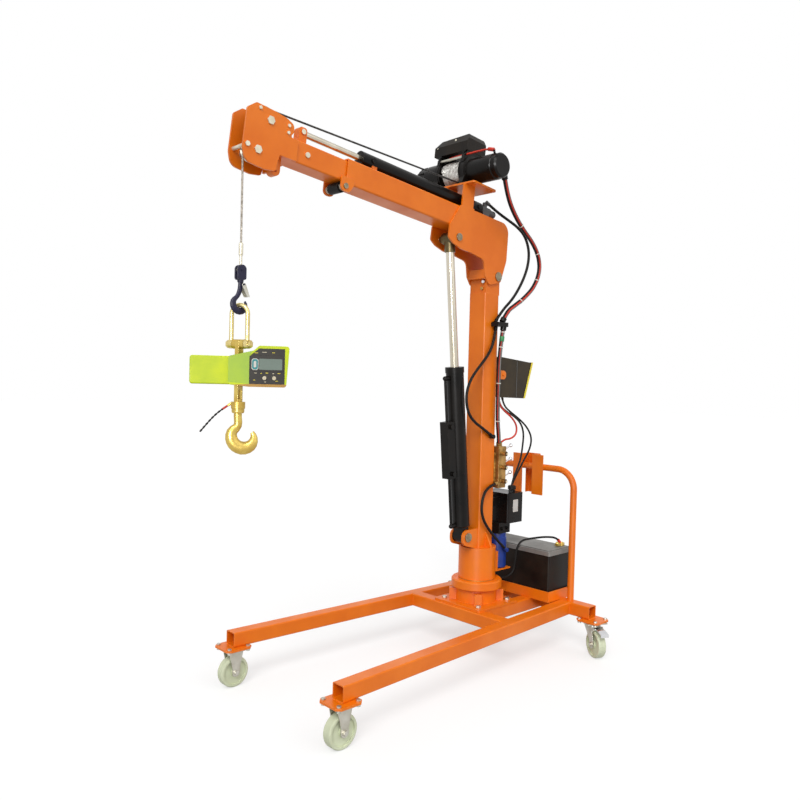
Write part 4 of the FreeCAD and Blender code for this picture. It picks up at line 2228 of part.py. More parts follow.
def all_pieces():
    """Every node by name."""
    return {
        "base_frame": base_frame(),
        "castor_mounts": castor_mounts(),
        "pedestal_hub": pedestal_hub(),
        "push_handle": push_handle(),
        "handle_guard": handle_guard(),
        "battery_tray": battery_tray(),
        "battery": group([battery_case(), battery_lid_piece()] + battery_terminals().Solids),
        "front_wheel_left": front_castor(wheel(0), 1),
        "front_wheel_right": front_castor(wheel(0), -1),
        "rear_fork_left": rear_fork(1),
        "rear_fork_right": rear_fork(-1),
        "rear_wheel_left": rear_castor(wheel(swivel_trail), 1),
        "rear_wheel_right": rear_castor(wheel(swivel_trail), -1),
        "brake_pedal_left": rear_castor(brake_pedal(), 1),
        "brake_pedal_right": rear_castor(brake_pedal(), -1),
        "mast": mast(),
        "mast_fittings": group(slewing_bushes().Solids + pivot_bushes().Solids
                               + [thrust_washer(), lift_foot_pin(), mast_head_bolt()]),
        "mast_brackets": group([pump_shelf(), box_bracket()] + hose_clips().Solids),
        "pump_unit": group([pump_motor(), pump_block()]),
        "oil_tank": group([oil_tank(), tank_cap()]),
        "valve_block": valve_block(),
        "valve_lever_1": valve_lever(0),
        "valve_lever_2": valve_lever(1),
        "valve_lever_3": valve_lever(2),
        "control_box": control_box(),
        "luff_hoses": luff_hoses(),
        "mast_hoses": mast_hoses(),
        "lift_barrel": lift_barrel(),
        "lift_valve_block": lift_valve_block(),
        "lift_rod": joined([lift_rod(), lift_rod_eye()]),
        "outer_boom": outer_boom(),
        "boom_pins": group([boom_pivot_pin(), roller_pin()] + lift_pin_caps().Solids),
        "mouth_wear_pads": mouth_wear_pads(),
        "boom_roller": boom_roller(),
        "telescope_barrel": group([telescope_barrel(), telescope_valve()]),
        "winch_frame": group([winch_plate(), winch_bridge()]),
        "winch_gearbox": winch_gearbox(),
        "winch_motor": winch_motor(),
        "solenoid_box": solenoid_box(),
        "winch_drum": winch_drum(),
        "drum_rope": drum_rope(),
        "clutch_lever": clutch_lever(),
        "boom_rope": boom_rope(),
        "inner_boom": inner_boom(),
        "boom_head": boom_head(),
        "tail_wear_pads": tail_wear_pads(),
        "head_pins": group(sheave_pins().Solids + [rope_guard()] + head_bolts().Solids),
        "telescope_rod": group([telescope_rod()] + telescope_bracket().Solids),
        "head_rope": head_rope(),
        "upper_sheave": sheave(upper_sheave_s, upper_sheave_n, upper_sheave_pitch),
        "lower_sheave": sheave(lower_sheave_s, lower_sheave_n, lower_sheave_pitch),
        "fall_rope": fall_rope(),
        "winch_hook": group([winch_hook(), rope_ferrule()]),
        "hook_latch": hook_latch(),
        "scale_link": scale_link(),
        "scale_housing": group([scale_housing(), scale_display()]),
        "scale_button_left": scale_button(0),
        "scale_button_right": scale_button(1),
        "load_hook": load_hook(),
        "pigtail_cord": pigtail_cord(),
    }


def main():
    os.makedirs("parts", exist_ok=True)
    for name, shape in all_pieces().items():
        save(name, shape)


main()
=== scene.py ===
import math

import bpy
import numpy as np
from mathutils import Matrix, Vector


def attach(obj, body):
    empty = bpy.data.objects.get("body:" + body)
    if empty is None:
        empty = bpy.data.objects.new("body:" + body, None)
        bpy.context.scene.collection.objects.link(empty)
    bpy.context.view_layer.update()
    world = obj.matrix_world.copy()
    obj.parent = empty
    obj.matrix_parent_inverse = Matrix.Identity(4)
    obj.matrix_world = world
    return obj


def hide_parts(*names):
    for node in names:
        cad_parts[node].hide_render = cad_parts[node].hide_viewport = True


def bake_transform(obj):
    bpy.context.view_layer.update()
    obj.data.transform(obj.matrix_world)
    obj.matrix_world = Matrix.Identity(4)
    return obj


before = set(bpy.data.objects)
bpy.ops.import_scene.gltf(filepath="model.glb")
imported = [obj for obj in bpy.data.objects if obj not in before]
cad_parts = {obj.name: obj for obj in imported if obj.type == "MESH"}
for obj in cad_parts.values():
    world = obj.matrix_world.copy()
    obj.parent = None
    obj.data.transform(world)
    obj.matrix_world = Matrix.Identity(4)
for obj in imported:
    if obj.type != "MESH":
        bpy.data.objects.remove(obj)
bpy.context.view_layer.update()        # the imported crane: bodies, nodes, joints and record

mastX = -512.886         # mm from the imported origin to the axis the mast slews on
metre = 1000             # mm


def at(x, y, z):
    # a point given in mm from the slewing axis and the floor
    return Vector(((x + mastX) / metre, y / metre, z / metre))


# the camera stands where the photographer stood
photoView = {"place": (2764.3, 2343.8, 1279.4), "yaw": 226.241, "pitch": -1.626, "roll": 1.42,
             "focal": 758.73, "centre": (402.3, 400.4), "picture": 800, "sensor": 36, "sees": 60}


def placeCamera(view):
    yaw, pitch, roll = (math.radians(view[k]) for k in ("yaw", "pitch", "roll"))
    ahead = Vector((math.cos(pitch) * math.cos(yaw), math.cos(pitch) * math.sin(yaw), math.sin(pitch)))
    side = Vector((math.sin(yaw), -math.cos(yaw), 0))
    over = side.cross(ahead)
    right = side * math.cos(roll) + over * math.sin(roll)
    up = over * math.cos(roll) - side * math.sin(roll)
    data = bpy.data.cameras.new("photoCamera")
    half = view["picture"] / 2
    data.sensor_width = view["sensor"]
    data.lens = view["focal"] * view["sensor"] / view["picture"]
    data.shift_x = (half - view["centre"][0]) / view["picture"]
    data.shift_y = (view["centre"][1] - half) / view["picture"]
    data.clip_end = view["sees"]
    camera = bpy.data.objects.new("photoCamera", data)
    turn = Matrix((right, up, -ahead)).transposed().to_4x4()
    camera.matrix_world = Matrix.Translation(at(*view["place"])) @ turn
    bpy.context.scene.collection.objects.link(camera)
    bpy.context.scene.camera = camera


placeCamera(photoView)
print("camera placed")


# colours are written as they look on screen, 0 to 255
def tone(red, green, blue):
    def light(value):
        value /= 255
        return value / 12.92 if value <= 0.04045 else ((value + 0.055) / 1.055) ** 2.4
    return (light(red), light(green), light(blue), 1)


usualFinish = {"colour": (120, 120, 120), "patch": None, "patchSize": 9, "patchShare": 0.5,
               "metal": 0, "rough": 0.45, "roughSwing": 0.12, "bump": 0.12, "grain": 260,
               "rounding": 0.0012, "edgeWearAndHighlight": None, "edgeWearAndHighlightShare": 0.35, "shine": 0.4,
               "stretch": (1, 1, 1)}
finishes = {
    # the orange paint's light edge colour is partly wear and partly a painted highlight on its rounded edges
    "orangePaint": {"colour": (238, 122, 6), "patch": (222, 104, 4), "rough": 0.36, "bump": 0.12,
                    "grain": 190, "edgeWearAndHighlight": (255, 176, 96), "edgeWearAndHighlightShare": 0.5, "shine": 0.35,
                    "patchSize": 5, "patchShare": 0.35},
    "blackPaint": {"colour": (10, 8, 7), "patch": (20, 16, 13), "rough": 0.3, "bump": 0.1,
                   "edgeWearAndHighlight": (74, 66, 58), "edgeWearAndHighlightShare": 0.35, "shine": 0.16},
    "zincSteel": {"colour": (198, 196, 186), "patch": (176, 172, 158), "metal": 0.85, "rough": 0.36,
                  "patchSize": 22, "grain": 420, "edgeWearAndHighlight": (224, 222, 214)},
    "creamSteel": {"colour": (232, 226, 206), "patch": (208, 200, 176), "metal": 0.35, "rough": 0.34,
                   "patchSize": 26, "grain": 420, "edgeWearAndHighlight": (246, 242, 230)},
    "chromeSteel": {"colour": (222, 223, 224), "patch": (206, 206, 208), "metal": 1, "rough": 0.12,
                    "roughSwing": 0.06, "bump": 0.03},
    "oiledBronze": {"colour": (112, 98, 66), "patch": (84, 72, 46), "metal": 0.7, "rough": 0.34,
                    "edgeWearAndHighlight": (180, 164, 122)},
    "rodSteel": {"colour": (214, 206, 190), "patch": (184, 176, 158), "metal": 0.92, "rough": 0.17,
                 "roughSwing": 0.08, "bump": 0.03, "grain": 500, "stretch": (1, 1, 0.2)},
    "bronzeMetal": {"colour": (186, 148, 82), "patch": (160, 122, 62), "metal": 0.8, "rough": 0.4,
                    "edgeWearAndHighlight": (220, 190, 128)},
    "brassMetal": {"colour": (206, 178, 96), "patch": (182, 150, 74), "metal": 0.8, "rough": 0.34,
                   "edgeWearAndHighlight": (232, 212, 146)},
    "castBrass": {"colour": (186, 150, 88), "patch": (124, 92, 46), "metal": 0.75, "rough": 0.36,
                  "patchSize": 34, "grain": 260, "bump": 0.4, "edgeWearAndHighlight": (236, 214, 150)},
    "pinSteel": {"colour": (158, 148, 126), "patch": (122, 110, 88), "metal": 0.8, "rough": 0.3,
                 "patchSize": 40, "edgeWearAndHighlight": (226, 220, 202), "edgeWearAndHighlightShare": 0.5},
    "boxPlastic": {"colour": (44, 35, 22), "patch": (62, 50, 31), "rough": 0.4, "bump": 0.2,
                   "grain": 520, "edgeWearAndHighlight": (104, 90, 62), "edgeWearAndHighlightShare": 0.4, "shine": 0.2},
    "paleNylon": {"colour": (214, 220, 190), "patch": (198, 204, 172), "rough": 0.5, "bump": 0.2,
                  "grain": 320, "edgeWearAndHighlight": (228, 232, 210)},
    "blackPlastic": {"colour": (14, 11, 9), "patch": (34, 26, 18), "rough": 0.42, "bump": 0.25,
                     "grain": 520, "edgeWearAndHighlight": (82, 70, 58), "edgeWearAndHighlightShare": 0.35, "shine": 0.16},
    "greyPlastic": {"colour": (84, 84, 84), "patch": (72, 72, 72), "rough": 0.5, "bump": 0.3,
                    "grain": 520, "edgeWearAndHighlight": (120, 120, 118)},
    "blackRubber": {"colour": (12, 10, 9), "patch": (22, 19, 16), "rough": 0.5, "bump": 0.25,
                    "grain": 640, "shine": 0.18},
    "redRubber": {"colour": (214, 52, 24), "patch": (190, 38, 20), "rough": 0.46, "bump": 0.2,
                  "grain": 600},
    "greyRubber": {"colour": (132, 130, 126), "patch": (112, 110, 106), "rough": 0.52, "bump": 0.2,
                   "grain": 600},
    "bluePaint": {"colour": (22, 58, 150), "patch": (16, 44, 118), "rough": 0.36, "bump": 0.12,
                  "edgeWearAndHighlight": (96, 130, 190), "shine": 0.35},
    "tankPaint": {"colour": (10, 8, 8), "patch": (22, 18, 16), "rough": 0.26, "bump": 0.1,
                  "edgeWearAndHighlight": (84, 76, 68), "edgeWearAndHighlightShare": 0.4, "shine": 0.16},
    "hookPaint": {"colour": (28, 24, 62), "patch": (20, 18, 46), "rough": 0.36, "bump": 0.3,
                  "grain": 150, "edgeWearAndHighlight": (92, 90, 132), "shine": 0.35},
    "goldPaint": {"colour": (216, 190, 104), "patch": (186, 154, 72), "metal": 0.75, "rough": 0.24,
                  "bump": 0.14, "grain": 90, "edgeWearAndHighlight": (242, 230, 176), "patchSize": 16},
    "paleGold": {"colour": (230, 214, 152), "patch": (206, 184, 116), "metal": 0.7, "rough": 0.24,
                 "bump": 0.12, "grain": 90, "edgeWearAndHighlight": (244, 234, 190), "patchSize": 16},
    "bandPlastic": {"colour": (196, 150, 60), "patch": (170, 122, 44), "rough": 0.36, "bump": 0.16},
    "limePlastic": {"colour": (212, 226, 12), "patch": (190, 212, 22), "rough": 0.36, "bump": 0.16,
                    "grain": 380, "edgeWearAndHighlight": (230, 238, 96), "shine": 0.3},
    "shoulderPlastic": {"colour": (176, 206, 62), "patch": (160, 194, 66), "rough": 0.36,
                        "bump": 0.16, "grain": 380, "shine": 0.3},
    "panelPlastic": {"colour": (34, 32, 28), "patch": (48, 42, 34), "rough": 0.36, "bump": 0.1,
                     "shine": 0.3},
    "keyPlastic": {"colour": (216, 206, 178), "patch": (200, 188, 156), "rough": 0.34, "bump": 0.1},
    "whitePlastic": {"colour": (226, 224, 214), "patch": (208, 206, 196), "rough": 0.44, "bump": 0.2},
    "yellowPaint": {"colour": (244, 226, 60), "patch": (230, 206, 46), "rough": 0.36, "bump": 0.12},
    "greenPlastic": {"colour": (54, 148, 86), "patch": (40, 124, 70), "rough": 0.4, "bump": 0.15},
    "lampGlass": {"colour": (128, 142, 132), "patch": (116, 130, 120), "rough": 0.16, "bump": 0.02},
    "tealMark": {"colour": (42, 148, 150), "patch": (34, 134, 138), "rough": 0.4, "bump": 0.05},
    "blankPlate": {"colour": (206, 204, 200), "patch": (184, 182, 178), "metal": 0.75, "rough": 0.34,
                   "roughSwing": 0.1, "bump": 0.06, "stretch": (0.2, 1, 1)},
    "wireStrand": {"colour": (196, 188, 176), "patch": (132, 124, 112), "metal": 0.6, "rough": 0.4,
                   "patchSize": 160, "bump": 0.3, "grain": 900, "rounding": 0},
    "greasedStrand": {"colour": (96, 94, 92), "patch": (44, 42, 40), "metal": 0.6, "rough": 0.38,
                      "patchSize": 120, "bump": 0.3, "grain": 900, "rounding": 0},
    "windingStrand": {"colour": (206, 204, 200), "patch": (140, 136, 130), "metal": 0.8,
                      "rough": 0.32, "patchSize": 90, "bump": 0.3, "grain": 900, "rounding": 0},
}
# what all finishes share: sizes of the noises, and the parts of their range that are spread to 0 to 1
finishMaking = {"blotchDetail": 5, "blotches": (0.35, 0.65), "gloss": (0.3, 0.7), "grainDetail": 3,
                "grainDepth": 0.0006, "noiseRoughness": 0.6, "bevelSamples": 4, "edge": (0.995, 0.9),
                "edgeSpotSize": 55, "edgeSpotDetail": 6, "edgeSpots": (0.4, 0.62)}
made = {}


def finish(name):
    # one node tree serves every finish: mottled colour, a lighter or darker edge colour (wear, and on the
    # orange paint a painted highlight), uneven gloss and a fine grain
    if name in made:
        return made[name]
    look = {**usualFinish, **finishes[name]}
    making = finishMaking
    material = bpy.data.materials.new(name)
    material.use_nodes = True
    tree = material.node_tree
    shader = tree.nodes["Principled BSDF"]

    def node(kind, **values):
        new = tree.nodes.new("ShaderNode" + kind)
        for key, value in values.items():
            if hasattr(new, key):
                setattr(new, key, value)
            else:
                new.inputs[key.replace("_", " ")].default_value = value
        return new

    def join(source, target):
        tree.links.new(source, target)

    place = node("TexCoord")
    stretch = node("Mapping")
    stretch.inputs["Scale"].default_value = look["stretch"]
    join(place.outputs["Object"], stretch.inputs["Vector"])

    def noise(size, detail):
        new = node("TexNoise", Scale=size, Detail=detail, Roughness=making["noiseRoughness"])
        join(stretch.outputs["Vector"], new.inputs["Vector"])
        return new

    def spread(source, given, toLow, toHigh):
        new = node("MapRange")
        for key, value in zip(("From Min", "From Max", "To Min", "To Max"), (*given, toLow, toHigh)):
            new.inputs[key].default_value = value
        join(source, new.inputs["Value"])
        return new.outputs["Result"]

    def mixed(share, first, second):
        new = node("Mix", data_type="RGBA")
        join(share, new.inputs["Factor"])
        colourSockets = [s for s in new.inputs if s.type == "RGBA"]
        for value, socket in zip((first, second), colourSockets):
            if isinstance(value, tuple):
                socket.default_value = value
            else:
                join(value, socket)
        return [s for s in new.outputs if s.type == "RGBA"][0]

    blotches = noise(look["patchSize"], making["blotchDetail"])
    grain = noise(look["grain"], making["grainDetail"])
    patch = look["patch"] or look["colour"]
    share = spread(blotches.outputs["Fac"], making["blotches"], 0, look["patchShare"] * 2)
    colour = mixed(share, tone(*look["colour"]), tone(*patch))
    rounded = None
    if look["rounding"]:
        rounded = node("Bevel", samples=making["bevelSamples"], Radius=look["rounding"])
        # the edge colour is wear, and on the orange paint also a painted highlight along its rounded edges
        if look["edgeWearAndHighlight"]:
            flat = node("NewGeometry")
            angle = node("VectorMath", operation="DOT_PRODUCT")
            join(rounded.outputs["Normal"], angle.inputs[0])
            join(flat.outputs["Normal"], angle.inputs[1])
            edge = spread(angle.outputs["Value"], making["edge"], 0, 1)
            edgeSpots = noise(making["edgeSpotSize"], making["edgeSpotDetail"])
            wearAndHighlightSpots = spread(edgeSpots.outputs["Fac"], making["edgeSpots"], 0, look["edgeWearAndHighlightShare"] * 2)
            both = node("Math", operation="MULTIPLY")
            join(edge, both.inputs[0])
            join(wearAndHighlightSpots, both.inputs[1])
            colour = mixed(both.outputs["Value"], colour, tone(*look["edgeWearAndHighlight"]))
    join(colour, shader.inputs["Base Color"])
    low, high = look["rough"] - look["roughSwing"] / 2, look["rough"] + look["roughSwing"]
    join(spread(blotches.outputs["Fac"], making["gloss"], low, high), shader.inputs["Roughness"])
    bump = node("Bump", Strength=look["bump"], Distance=making["grainDepth"])
    join(grain.outputs["Fac"], bump.inputs["Height"])
    if rounded:
        join(rounded.outputs["Normal"], bump.inputs["Normal"])
    join(bump.outputs["Normal"], shader.inputs["Normal"])
    shader.inputs["Metallic"].default_value = look["metal"]
    shader.inputs["Specular IOR Level"].default_value = look["shine"]
    made[name] = material
    return material


# meshes for the pieces that this scene adds; lengths are in metres from here to the routes
tubeMaking = {"curveSteps": 14, "curveOrder": 3, "step": 0.004, "hoseSides": 12, "bundleSides": 9,
              "bandSides": 18,
              # a band's section: place along its width, and share of its radius
              "bandSection": ((-0.5, 0.75), (-0.5, 0.94), (-0.42, 1), (0.42, 1), (0.5, 0.94), (0.5, 0.75))}


def addMesh(name, points, faces, finishNames, faceFinish=None, smooth=True):
    mesh = bpy.data.meshes.new(name)
    mesh.from_pydata([tuple(p) for p in points], [], faces)
    for finishName in finishNames:
        mesh.materials.append(finish(finishName))
    for index, polygon in enumerate(mesh.polygons):
        polygon.use_smooth = smooth
        if faceFinish is not None:
            polygon.material_index = faceFinish[index]
    mesh.update()
    piece = bpy.data.objects.new(name, mesh)
    bpy.context.scene.collection.objects.link(piece)
    return piece


def curveLine(route):
    # the smooth line of a cord: a NURBS spline with the route's points as its control points
    data = bpy.data.curves.new("route", "CURVE")
    data.dimensions = "3D"
    data.resolution_u = tubeMaking["curveSteps"]
    spline = data.splines.new("NURBS")
    spline.points.add(len(route) - 1)
    for point, place in zip(spline.points, route):
        point.co = (*at(*place), 1)
    spline.order_u = tubeMaking["curveOrder"]
    spline.use_endpoint_u = True
    holder = bpy.data.objects.new("route", data)
    mesh = bpy.data.meshes.new_from_object(holder)
    line = [v.co.copy() for v in mesh.vertices]
    bpy.data.meshes.remove(mesh)
    bpy.data.objects.remove(holder)
    bpy.data.curves.remove(data)
    return line


def evenly(line, step):
    points = np.array([tuple(p) for p in line])
    along = np.concatenate([[0], np.cumsum(np.linalg.norm(np.diff(points, axis=0), axis=1))])
    count = max(2, int(math.ceil(along[-1] / step)) + 1)
    places = np.linspace(0, along[-1], count)
    return [Vector([np.interp(s, along, points[:, k]) for k in range(3)]) for s in places], along[-1]


def frames(line):
    # a side and an upper direction at each point, carried along without twisting
    sides, ups = [], []
    side = None
    for i, point in enumerate(line):
        ahead = (line[min(i + 1, len(line) - 1)] - line[max(i - 1, 0)]).normalized()
        if side is None:
            guide = Vector((0, 0, 1)) if abs(ahead.z) < 0.9 else Vector((0, 1, 0))
            side = ahead.cross(guide).normalized()
        else:
            side = (side - ahead * side.dot(ahead)).normalized()
        sides.append(side)
        ups.append(ahead.cross(side))
    return sides, ups


def strandTubes(line, strands, sides, step):
    # each strand: radius, distance from the middle, angle it starts at, metres for one turn or 0 where
    # it runs straight, finish number
    points, faces, faceFinish = [], [], []
    line, length = evenly(line, step)
    across, upward = frames(line)
    for radius, away, start, lay, finishNumber in strands:
        first = len(points)
        for i, centre in enumerate(line):
            turn = start + (2 * math.pi * i * length / (len(line) - 1) / lay if lay else 0)
            middle = centre + (across[i] * math.cos(turn) + upward[i] * math.sin(turn)) * away
            for j in range(sides):
                spin = 2 * math.pi * j / sides
                points.append(middle + (across[i] * math.cos(spin) + upward[i] * math.sin(spin)) * radius)
        for i in range(len(line) - 1):
            for j in range(sides):
                k = (j + 1) % sides
                faces.append((first + i * sides + j, first + i * sides + k,
                              first + (i + 1) * sides + k, first + (i + 1) * sides + j))
                faceFinish.append(finishNumber)
        faces.append(tuple(first + j for j in reversed(range(sides))))
        faces.append(tuple(first + (len(line) - 1) * sides + j for j in range(sides)))
        faceFinish += [finishNumber, finishNumber]
    return points, faces, faceFinish, line


def twistedLay(radius, strands, lay):
    # strands of a rope that touch each other and fill its radius
    share = math.sin(math.pi / strands)
    strandRadius = radius * share / (1 + share)
    away = radius - strandRadius
    return [(strandRadius * rope["pressed"], away, 2 * math.pi * i / strands, lay, 0)
            for i in range(strands)]


# the oil hoses and cables from the boom down to the mast and its boxes: route in mm, the rest in
# metres; a ring is a tie, sleeve or boot with its share of the length, radius, width, finish number
hoseLines = {
    "cableBundle": {
        "route": [(70, 162, 2186), (46, 160, 2120), (-10, 151, 2057), (-96, 138, 1998),
                  (-201, 125, 1945), (-270, 112, 1884), (-288, 104, 1814), (-253, 98, 1738),
                  (-184, 91, 1678), (-120, 88, 1640), (-74, 85, 1612), (-52, 81, 1576)],
        "length": 0.882, "diameter": 0.022, "stiffness": "medium", "node": "luff_hoses",
        "bodies": ("mast", "boom"), "slot": "black_rubber",
        "finishes": ("blackRubber", "redRubber", "greyRubber", "whitePlastic"),
        "strands": ((0.0056, 0.0050, 0.5, 0, 0), (0.0052, 0.0054, 3.4, 0, 0),
                    (0.0036, 0.0072, 5.15, 0, 1), (0.0026, 0.0082, 4.35, 0, 2),
                    (0.0030, 0.0080, 5.95, 0, 0)),
        "rings": ((0.28, 0.0114, 0.005, 3), (0.5, 0.0114, 0.005, 3), (0.66, 0.0114, 0.005, 3),
                  (0.84, 0.0114, 0.005, 3))},
    "telescopeHose": {
        "route": [(-2, 12, 2109), (-53, 20, 2082), (-112, 40, 2051), (-153, 66, 2021),
                  (-191, 84, 1981), (-216, 90, 1921), (-220, 88, 1861), (-204, 82, 1796),
                  (-169, 74, 1728), (-124, 67, 1668), (-66, 61, 1618), (-26, 60, 1571)],
        "length": 0.723, "diameter": 0.013, "stiffness": "stiff", "node": "luff_hoses",
        "bodies": ("mast", "boom"), "slot": "black_rubber", "finishes": ("blackRubber",),
        "strands": ((0.0065, 0, 0, 0, 0),)},
    "columnCables": {
        "route": [(-51, 78, 1519), (-47, 71, 1450), (-40, 69, 1350), (-43, 67, 1250),
                  (-40, 69, 1150), (-47, 66, 1080), (-66, 58, 1030), (-80, 50, 986)],
        "length": 0.541, "diameter": 0.022, "stiffness": "medium", "node": "mast_hoses",
        "bodies": ("mast",), "slot": "black_rubber",
        "finishes": ("blackRubber", "redRubber", "greyRubber", "whitePlastic", "greenPlastic"),
        "strands": ((0.0062, 0.0046, 0.9, 0, 0), (0.0052, 0.0056, 3.2, 0, 0),
                    (0.0019, 0.0088, 5.7, 0, 1), (0.0030, 0.0078, 5.0, 0, 2)),
        "rings": ((0.02, 0.0114, 0.005, 3), (0.08, 0.0118, 0.024, 4), (0.15, 0.0114, 0.005, 3),
                  (0.47, 0.0114, 0.005, 3), (0.8, 0.0114, 0.005, 3))},
    "liftHoseLoop": {
        "route": [(-18, 60, 1519), (-8, 60, 1470), (14, 61, 1424), (50, 61, 1382), (98, 62, 1340),
                  (150, 62, 1288), (178, 62, 1228), (176, 62, 1168), (152, 62, 1118),
                  (108, 61, 1084), (54, 61, 1058), (4, 62, 1029)],
        "length": 0.645, "diameter": 0.013, "stiffness": "stiff", "node": "mast_hoses",
        "bodies": ("mast",), "slot": "black_rubber", "finishes": ("blackRubber",),
        "strands": ((0.0065, 0, 0, 0, 0),)},
    "lowerHose": {
        "route": [(-45, 59, 791), (7, 62, 781), (47, 66, 743), (58, 66, 678), (34, 66, 619),
                  (-20, 67, 561), (-78, 68, 510), (-124, 66, 476)],
        "length": 0.441, "diameter": 0.013, "stiffness": "stiff", "node": "mast_hoses",
        "bodies": ("mast",), "slot": "black_rubber", "finishes": ("blackRubber",),
        "strands": ((0.0065, 0, 0, 0, 0),)},
    "redControlCable": {
        "route": [(-88, 36, 1189), (-92, 38, 1162), (-122, 47, 1134), (-164, 57, 1106),
                  (-198, 62, 1066), (-200, 59, 1022), (-166, 50, 1000), (-124, 43, 1000),
                  (-98, 38, 977)],
        "length": 0.328, "diameter": 0.009, "stiffness": "limp", "node": "mast_hoses",
        "bodies": ("mast",), "slot": "black_rubber", "finishes": ("redRubber",),
        "strands": ((0.0045, 0, 0, 0, 0),)},
    "middleControlCable": {
        "route": [(-112, 16, 1189), (-118, 20, 1160), (-152, 34, 1132), (-200, 47, 1108),
                  (-240, 56, 1074), (-256, 62, 1024), (-250, 61, 960), (-240, 60, 902),
                  (-214, 59, 850), (-184, 58, 804), (-170, 58, 754)],
        "length": 0.521, "diameter": 0.009, "stiffness": "limp", "node": "mast_hoses",
        "bodies": ("mast",), "slot": "black_rubber", "finishes": ("blackRubber",),
        "strands": ((0.0045, 0, 0, 0, 0),)},
    "outerControlCable": {
        "route": [(-170, -8, 1189), (-175, -3, 1160), (-202, 17, 1130), (-242, 39, 1098),
                  (-287, 57, 1056), (-320, 63, 1004), (-314, 60, 950), (-284, 54, 904),
                  (-258, 44, 856), (-238, 30, 804), (-226, 14, 754)],
        "length": 0.529, "diameter": 0.009, "stiffness": "limp", "node": "mast_hoses",
        "bodies": ("mast",), "slot": "black_rubber", "finishes": ("blackRubber",),
        "strands": ((0.0045, 0, 0, 0, 0),)},
    "scalePigtail": {
        "route": [(1355.18, -19, 1170), (1372.18, -30, 1156), (1391.18, -44, 1136),
                  (1413.18, -56, 1108), (1435.18, -69, 1076)],
        "length": 0.134, "diameter": 0.007, "stiffness": "limp", "node": "pigtail_cord",
        "bodies": ("load_scale",), "slot": "black_rubber", "finishes": ("blackRubber", "redRubber"),
        "strands": ((0.0021, 0.0016, 0, 0.03, 0), (0.0021, 0.0016, math.pi, 0.03, 0)),
        "rings": ((0.1, 0.0039, 0.02, 1),)},
    "winchPowerCable": {
        "route": [(150, -110, 2310), (164, -70, 2308), (165, -10, 2307), (164, 60, 2308),
                  (160, 120, 2309), (154, 150, 2306), (150, 166, 2299)],
        "diameter": 0.009, "stiffness": "medium", "bodies": ("boom",), "slot": "black_rubber",
        "finishes": ("redRubber",), "strands": ((0.0045, 0, 0, 0, 0),),
        "rings": ((0.94, 0.0085, 0.03, 0),)},
    "batteryLead": {
        "route": [(-397, 195, 489), (-386, 190, 512), (-345, 152, 517), (-290, 104, 508),
                  (-244, 72, 498), (-229, 58, 455), (-229, 54, 395), (-224, 46, 340),
                  (-198, 34, 319), (-160, 20, 318), (-117.5, 10, 321)],
        "diameter": 0.01, "stiffness": "medium", "bodies": ("base",), "slot": "black_rubber",
        "finishes": ("blackRubber", "redRubber"), "strands": ((0.005, 0, 0, 0, 0),),
        "rings": ((0.02, 0.0075, 0.02, 1), (0.98, 0.009, 0.012, 0))},
}


def ringRound(line, share, radius, width):
    across, upward = frames(line)
    i = min(max(int(share * (len(line) - 1)), 1), len(line) - 2)
    ahead = (line[i + 1] - line[i - 1]).normalized()
    section, sides = tubeMaking["bandSection"], tubeMaking["bandSides"]
    points = [line[i] + ahead * width * along
              + (across[i] * math.cos(2 * math.pi * j / sides)
                 + upward[i] * math.sin(2 * math.pi * j / sides)) * radius * reach
              for along, reach in section for j in range(sides)]
    rows = len(section)
    faces = [(k * sides + j, k * sides + (j + 1) % sides, (k + 1) % rows * sides + (j + 1) % sides,
              (k + 1) % rows * sides + j) for k in range(rows) for j in range(sides)]
    return points, faces


def layHose(name, hose):
    sides = tubeMaking["hoseSides" if len(hose["strands"]) == 1 else "bundleSides"]
    points, faces, faceFinish, line = strandTubes(curveLine(hose["route"]), hose["strands"], sides,
                                                  tubeMaking["step"])
    for k, (share, radius, width, finishNumber) in enumerate(hose.get("rings", ())):
        ringPoints, ringFaces = ringRound(line, share, radius, width)
        if len(hose["bodies"]) == 1:
            band = addMesh(f"{name}Band{k + 1}", ringPoints, ringFaces,
                           (hose["finishes"][finishNumber],))
            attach(band, hose["bodies"][0])
            continue
        faces += [tuple(len(points) + corner for corner in face) for face in ringFaces]
        faceFinish += [finishNumber] * len(ringFaces)
        points += ringPoints
    piece = addMesh(name, points, faces, hose["finishes"], faceFinish)
    if "node" in hose:
        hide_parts(hose["node"])
    if len(hose["bodies"]) == 2:
        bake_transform(piece)
    else:
        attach(piece, hose["bodies"][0])


for hoseName, hose in hoseLines.items():
    layHose(hoseName, hose)
print("hoses and cables laid")

# the wire rope, from the drum over the head sheaves and down to the hook, in mm but for lay and step
rope = {"radius": 4.0, "strands": 6, "lay": 0.034, "pressed": 1.04, "step": 0.0035, "sides": 6,
        "woundStep": 0.0075, "woundSides": 5, "turnSteps": 48, "sheaveSteps": (24, 6), "lap": 2,
        "boomLean": 6.1, "boomHeight": 1982,
        "drum": (153, 237), "wrapRadius": 58.05, "turns": 11.75, "drumEnds": (-121.2, -17.0),
        "leaves": (161, -17, 178.95), "crown": (1258, 0, 122),
        "upperSheave": (1243.9, 2181.3, 56), "lowerSheave": (1295.18, 2068.1, 30),
        "hookEnd": 1745.5}


def onBoom(s, y, n):
    lean = math.radians(rope["boomLean"])
    return at(s * math.cos(lean) - n * math.sin(lean), y,
              rope["boomHeight"] + s * math.sin(lean) + n * math.cos(lean))


def arc(centre, radius, first, last, steps):
    for i in range(steps + 1):
        angle = math.radians(first + (last - first) * i / steps)
        yield at(centre[0] + radius * math.cos(angle), 0, centre[1] + radius * math.sin(angle))


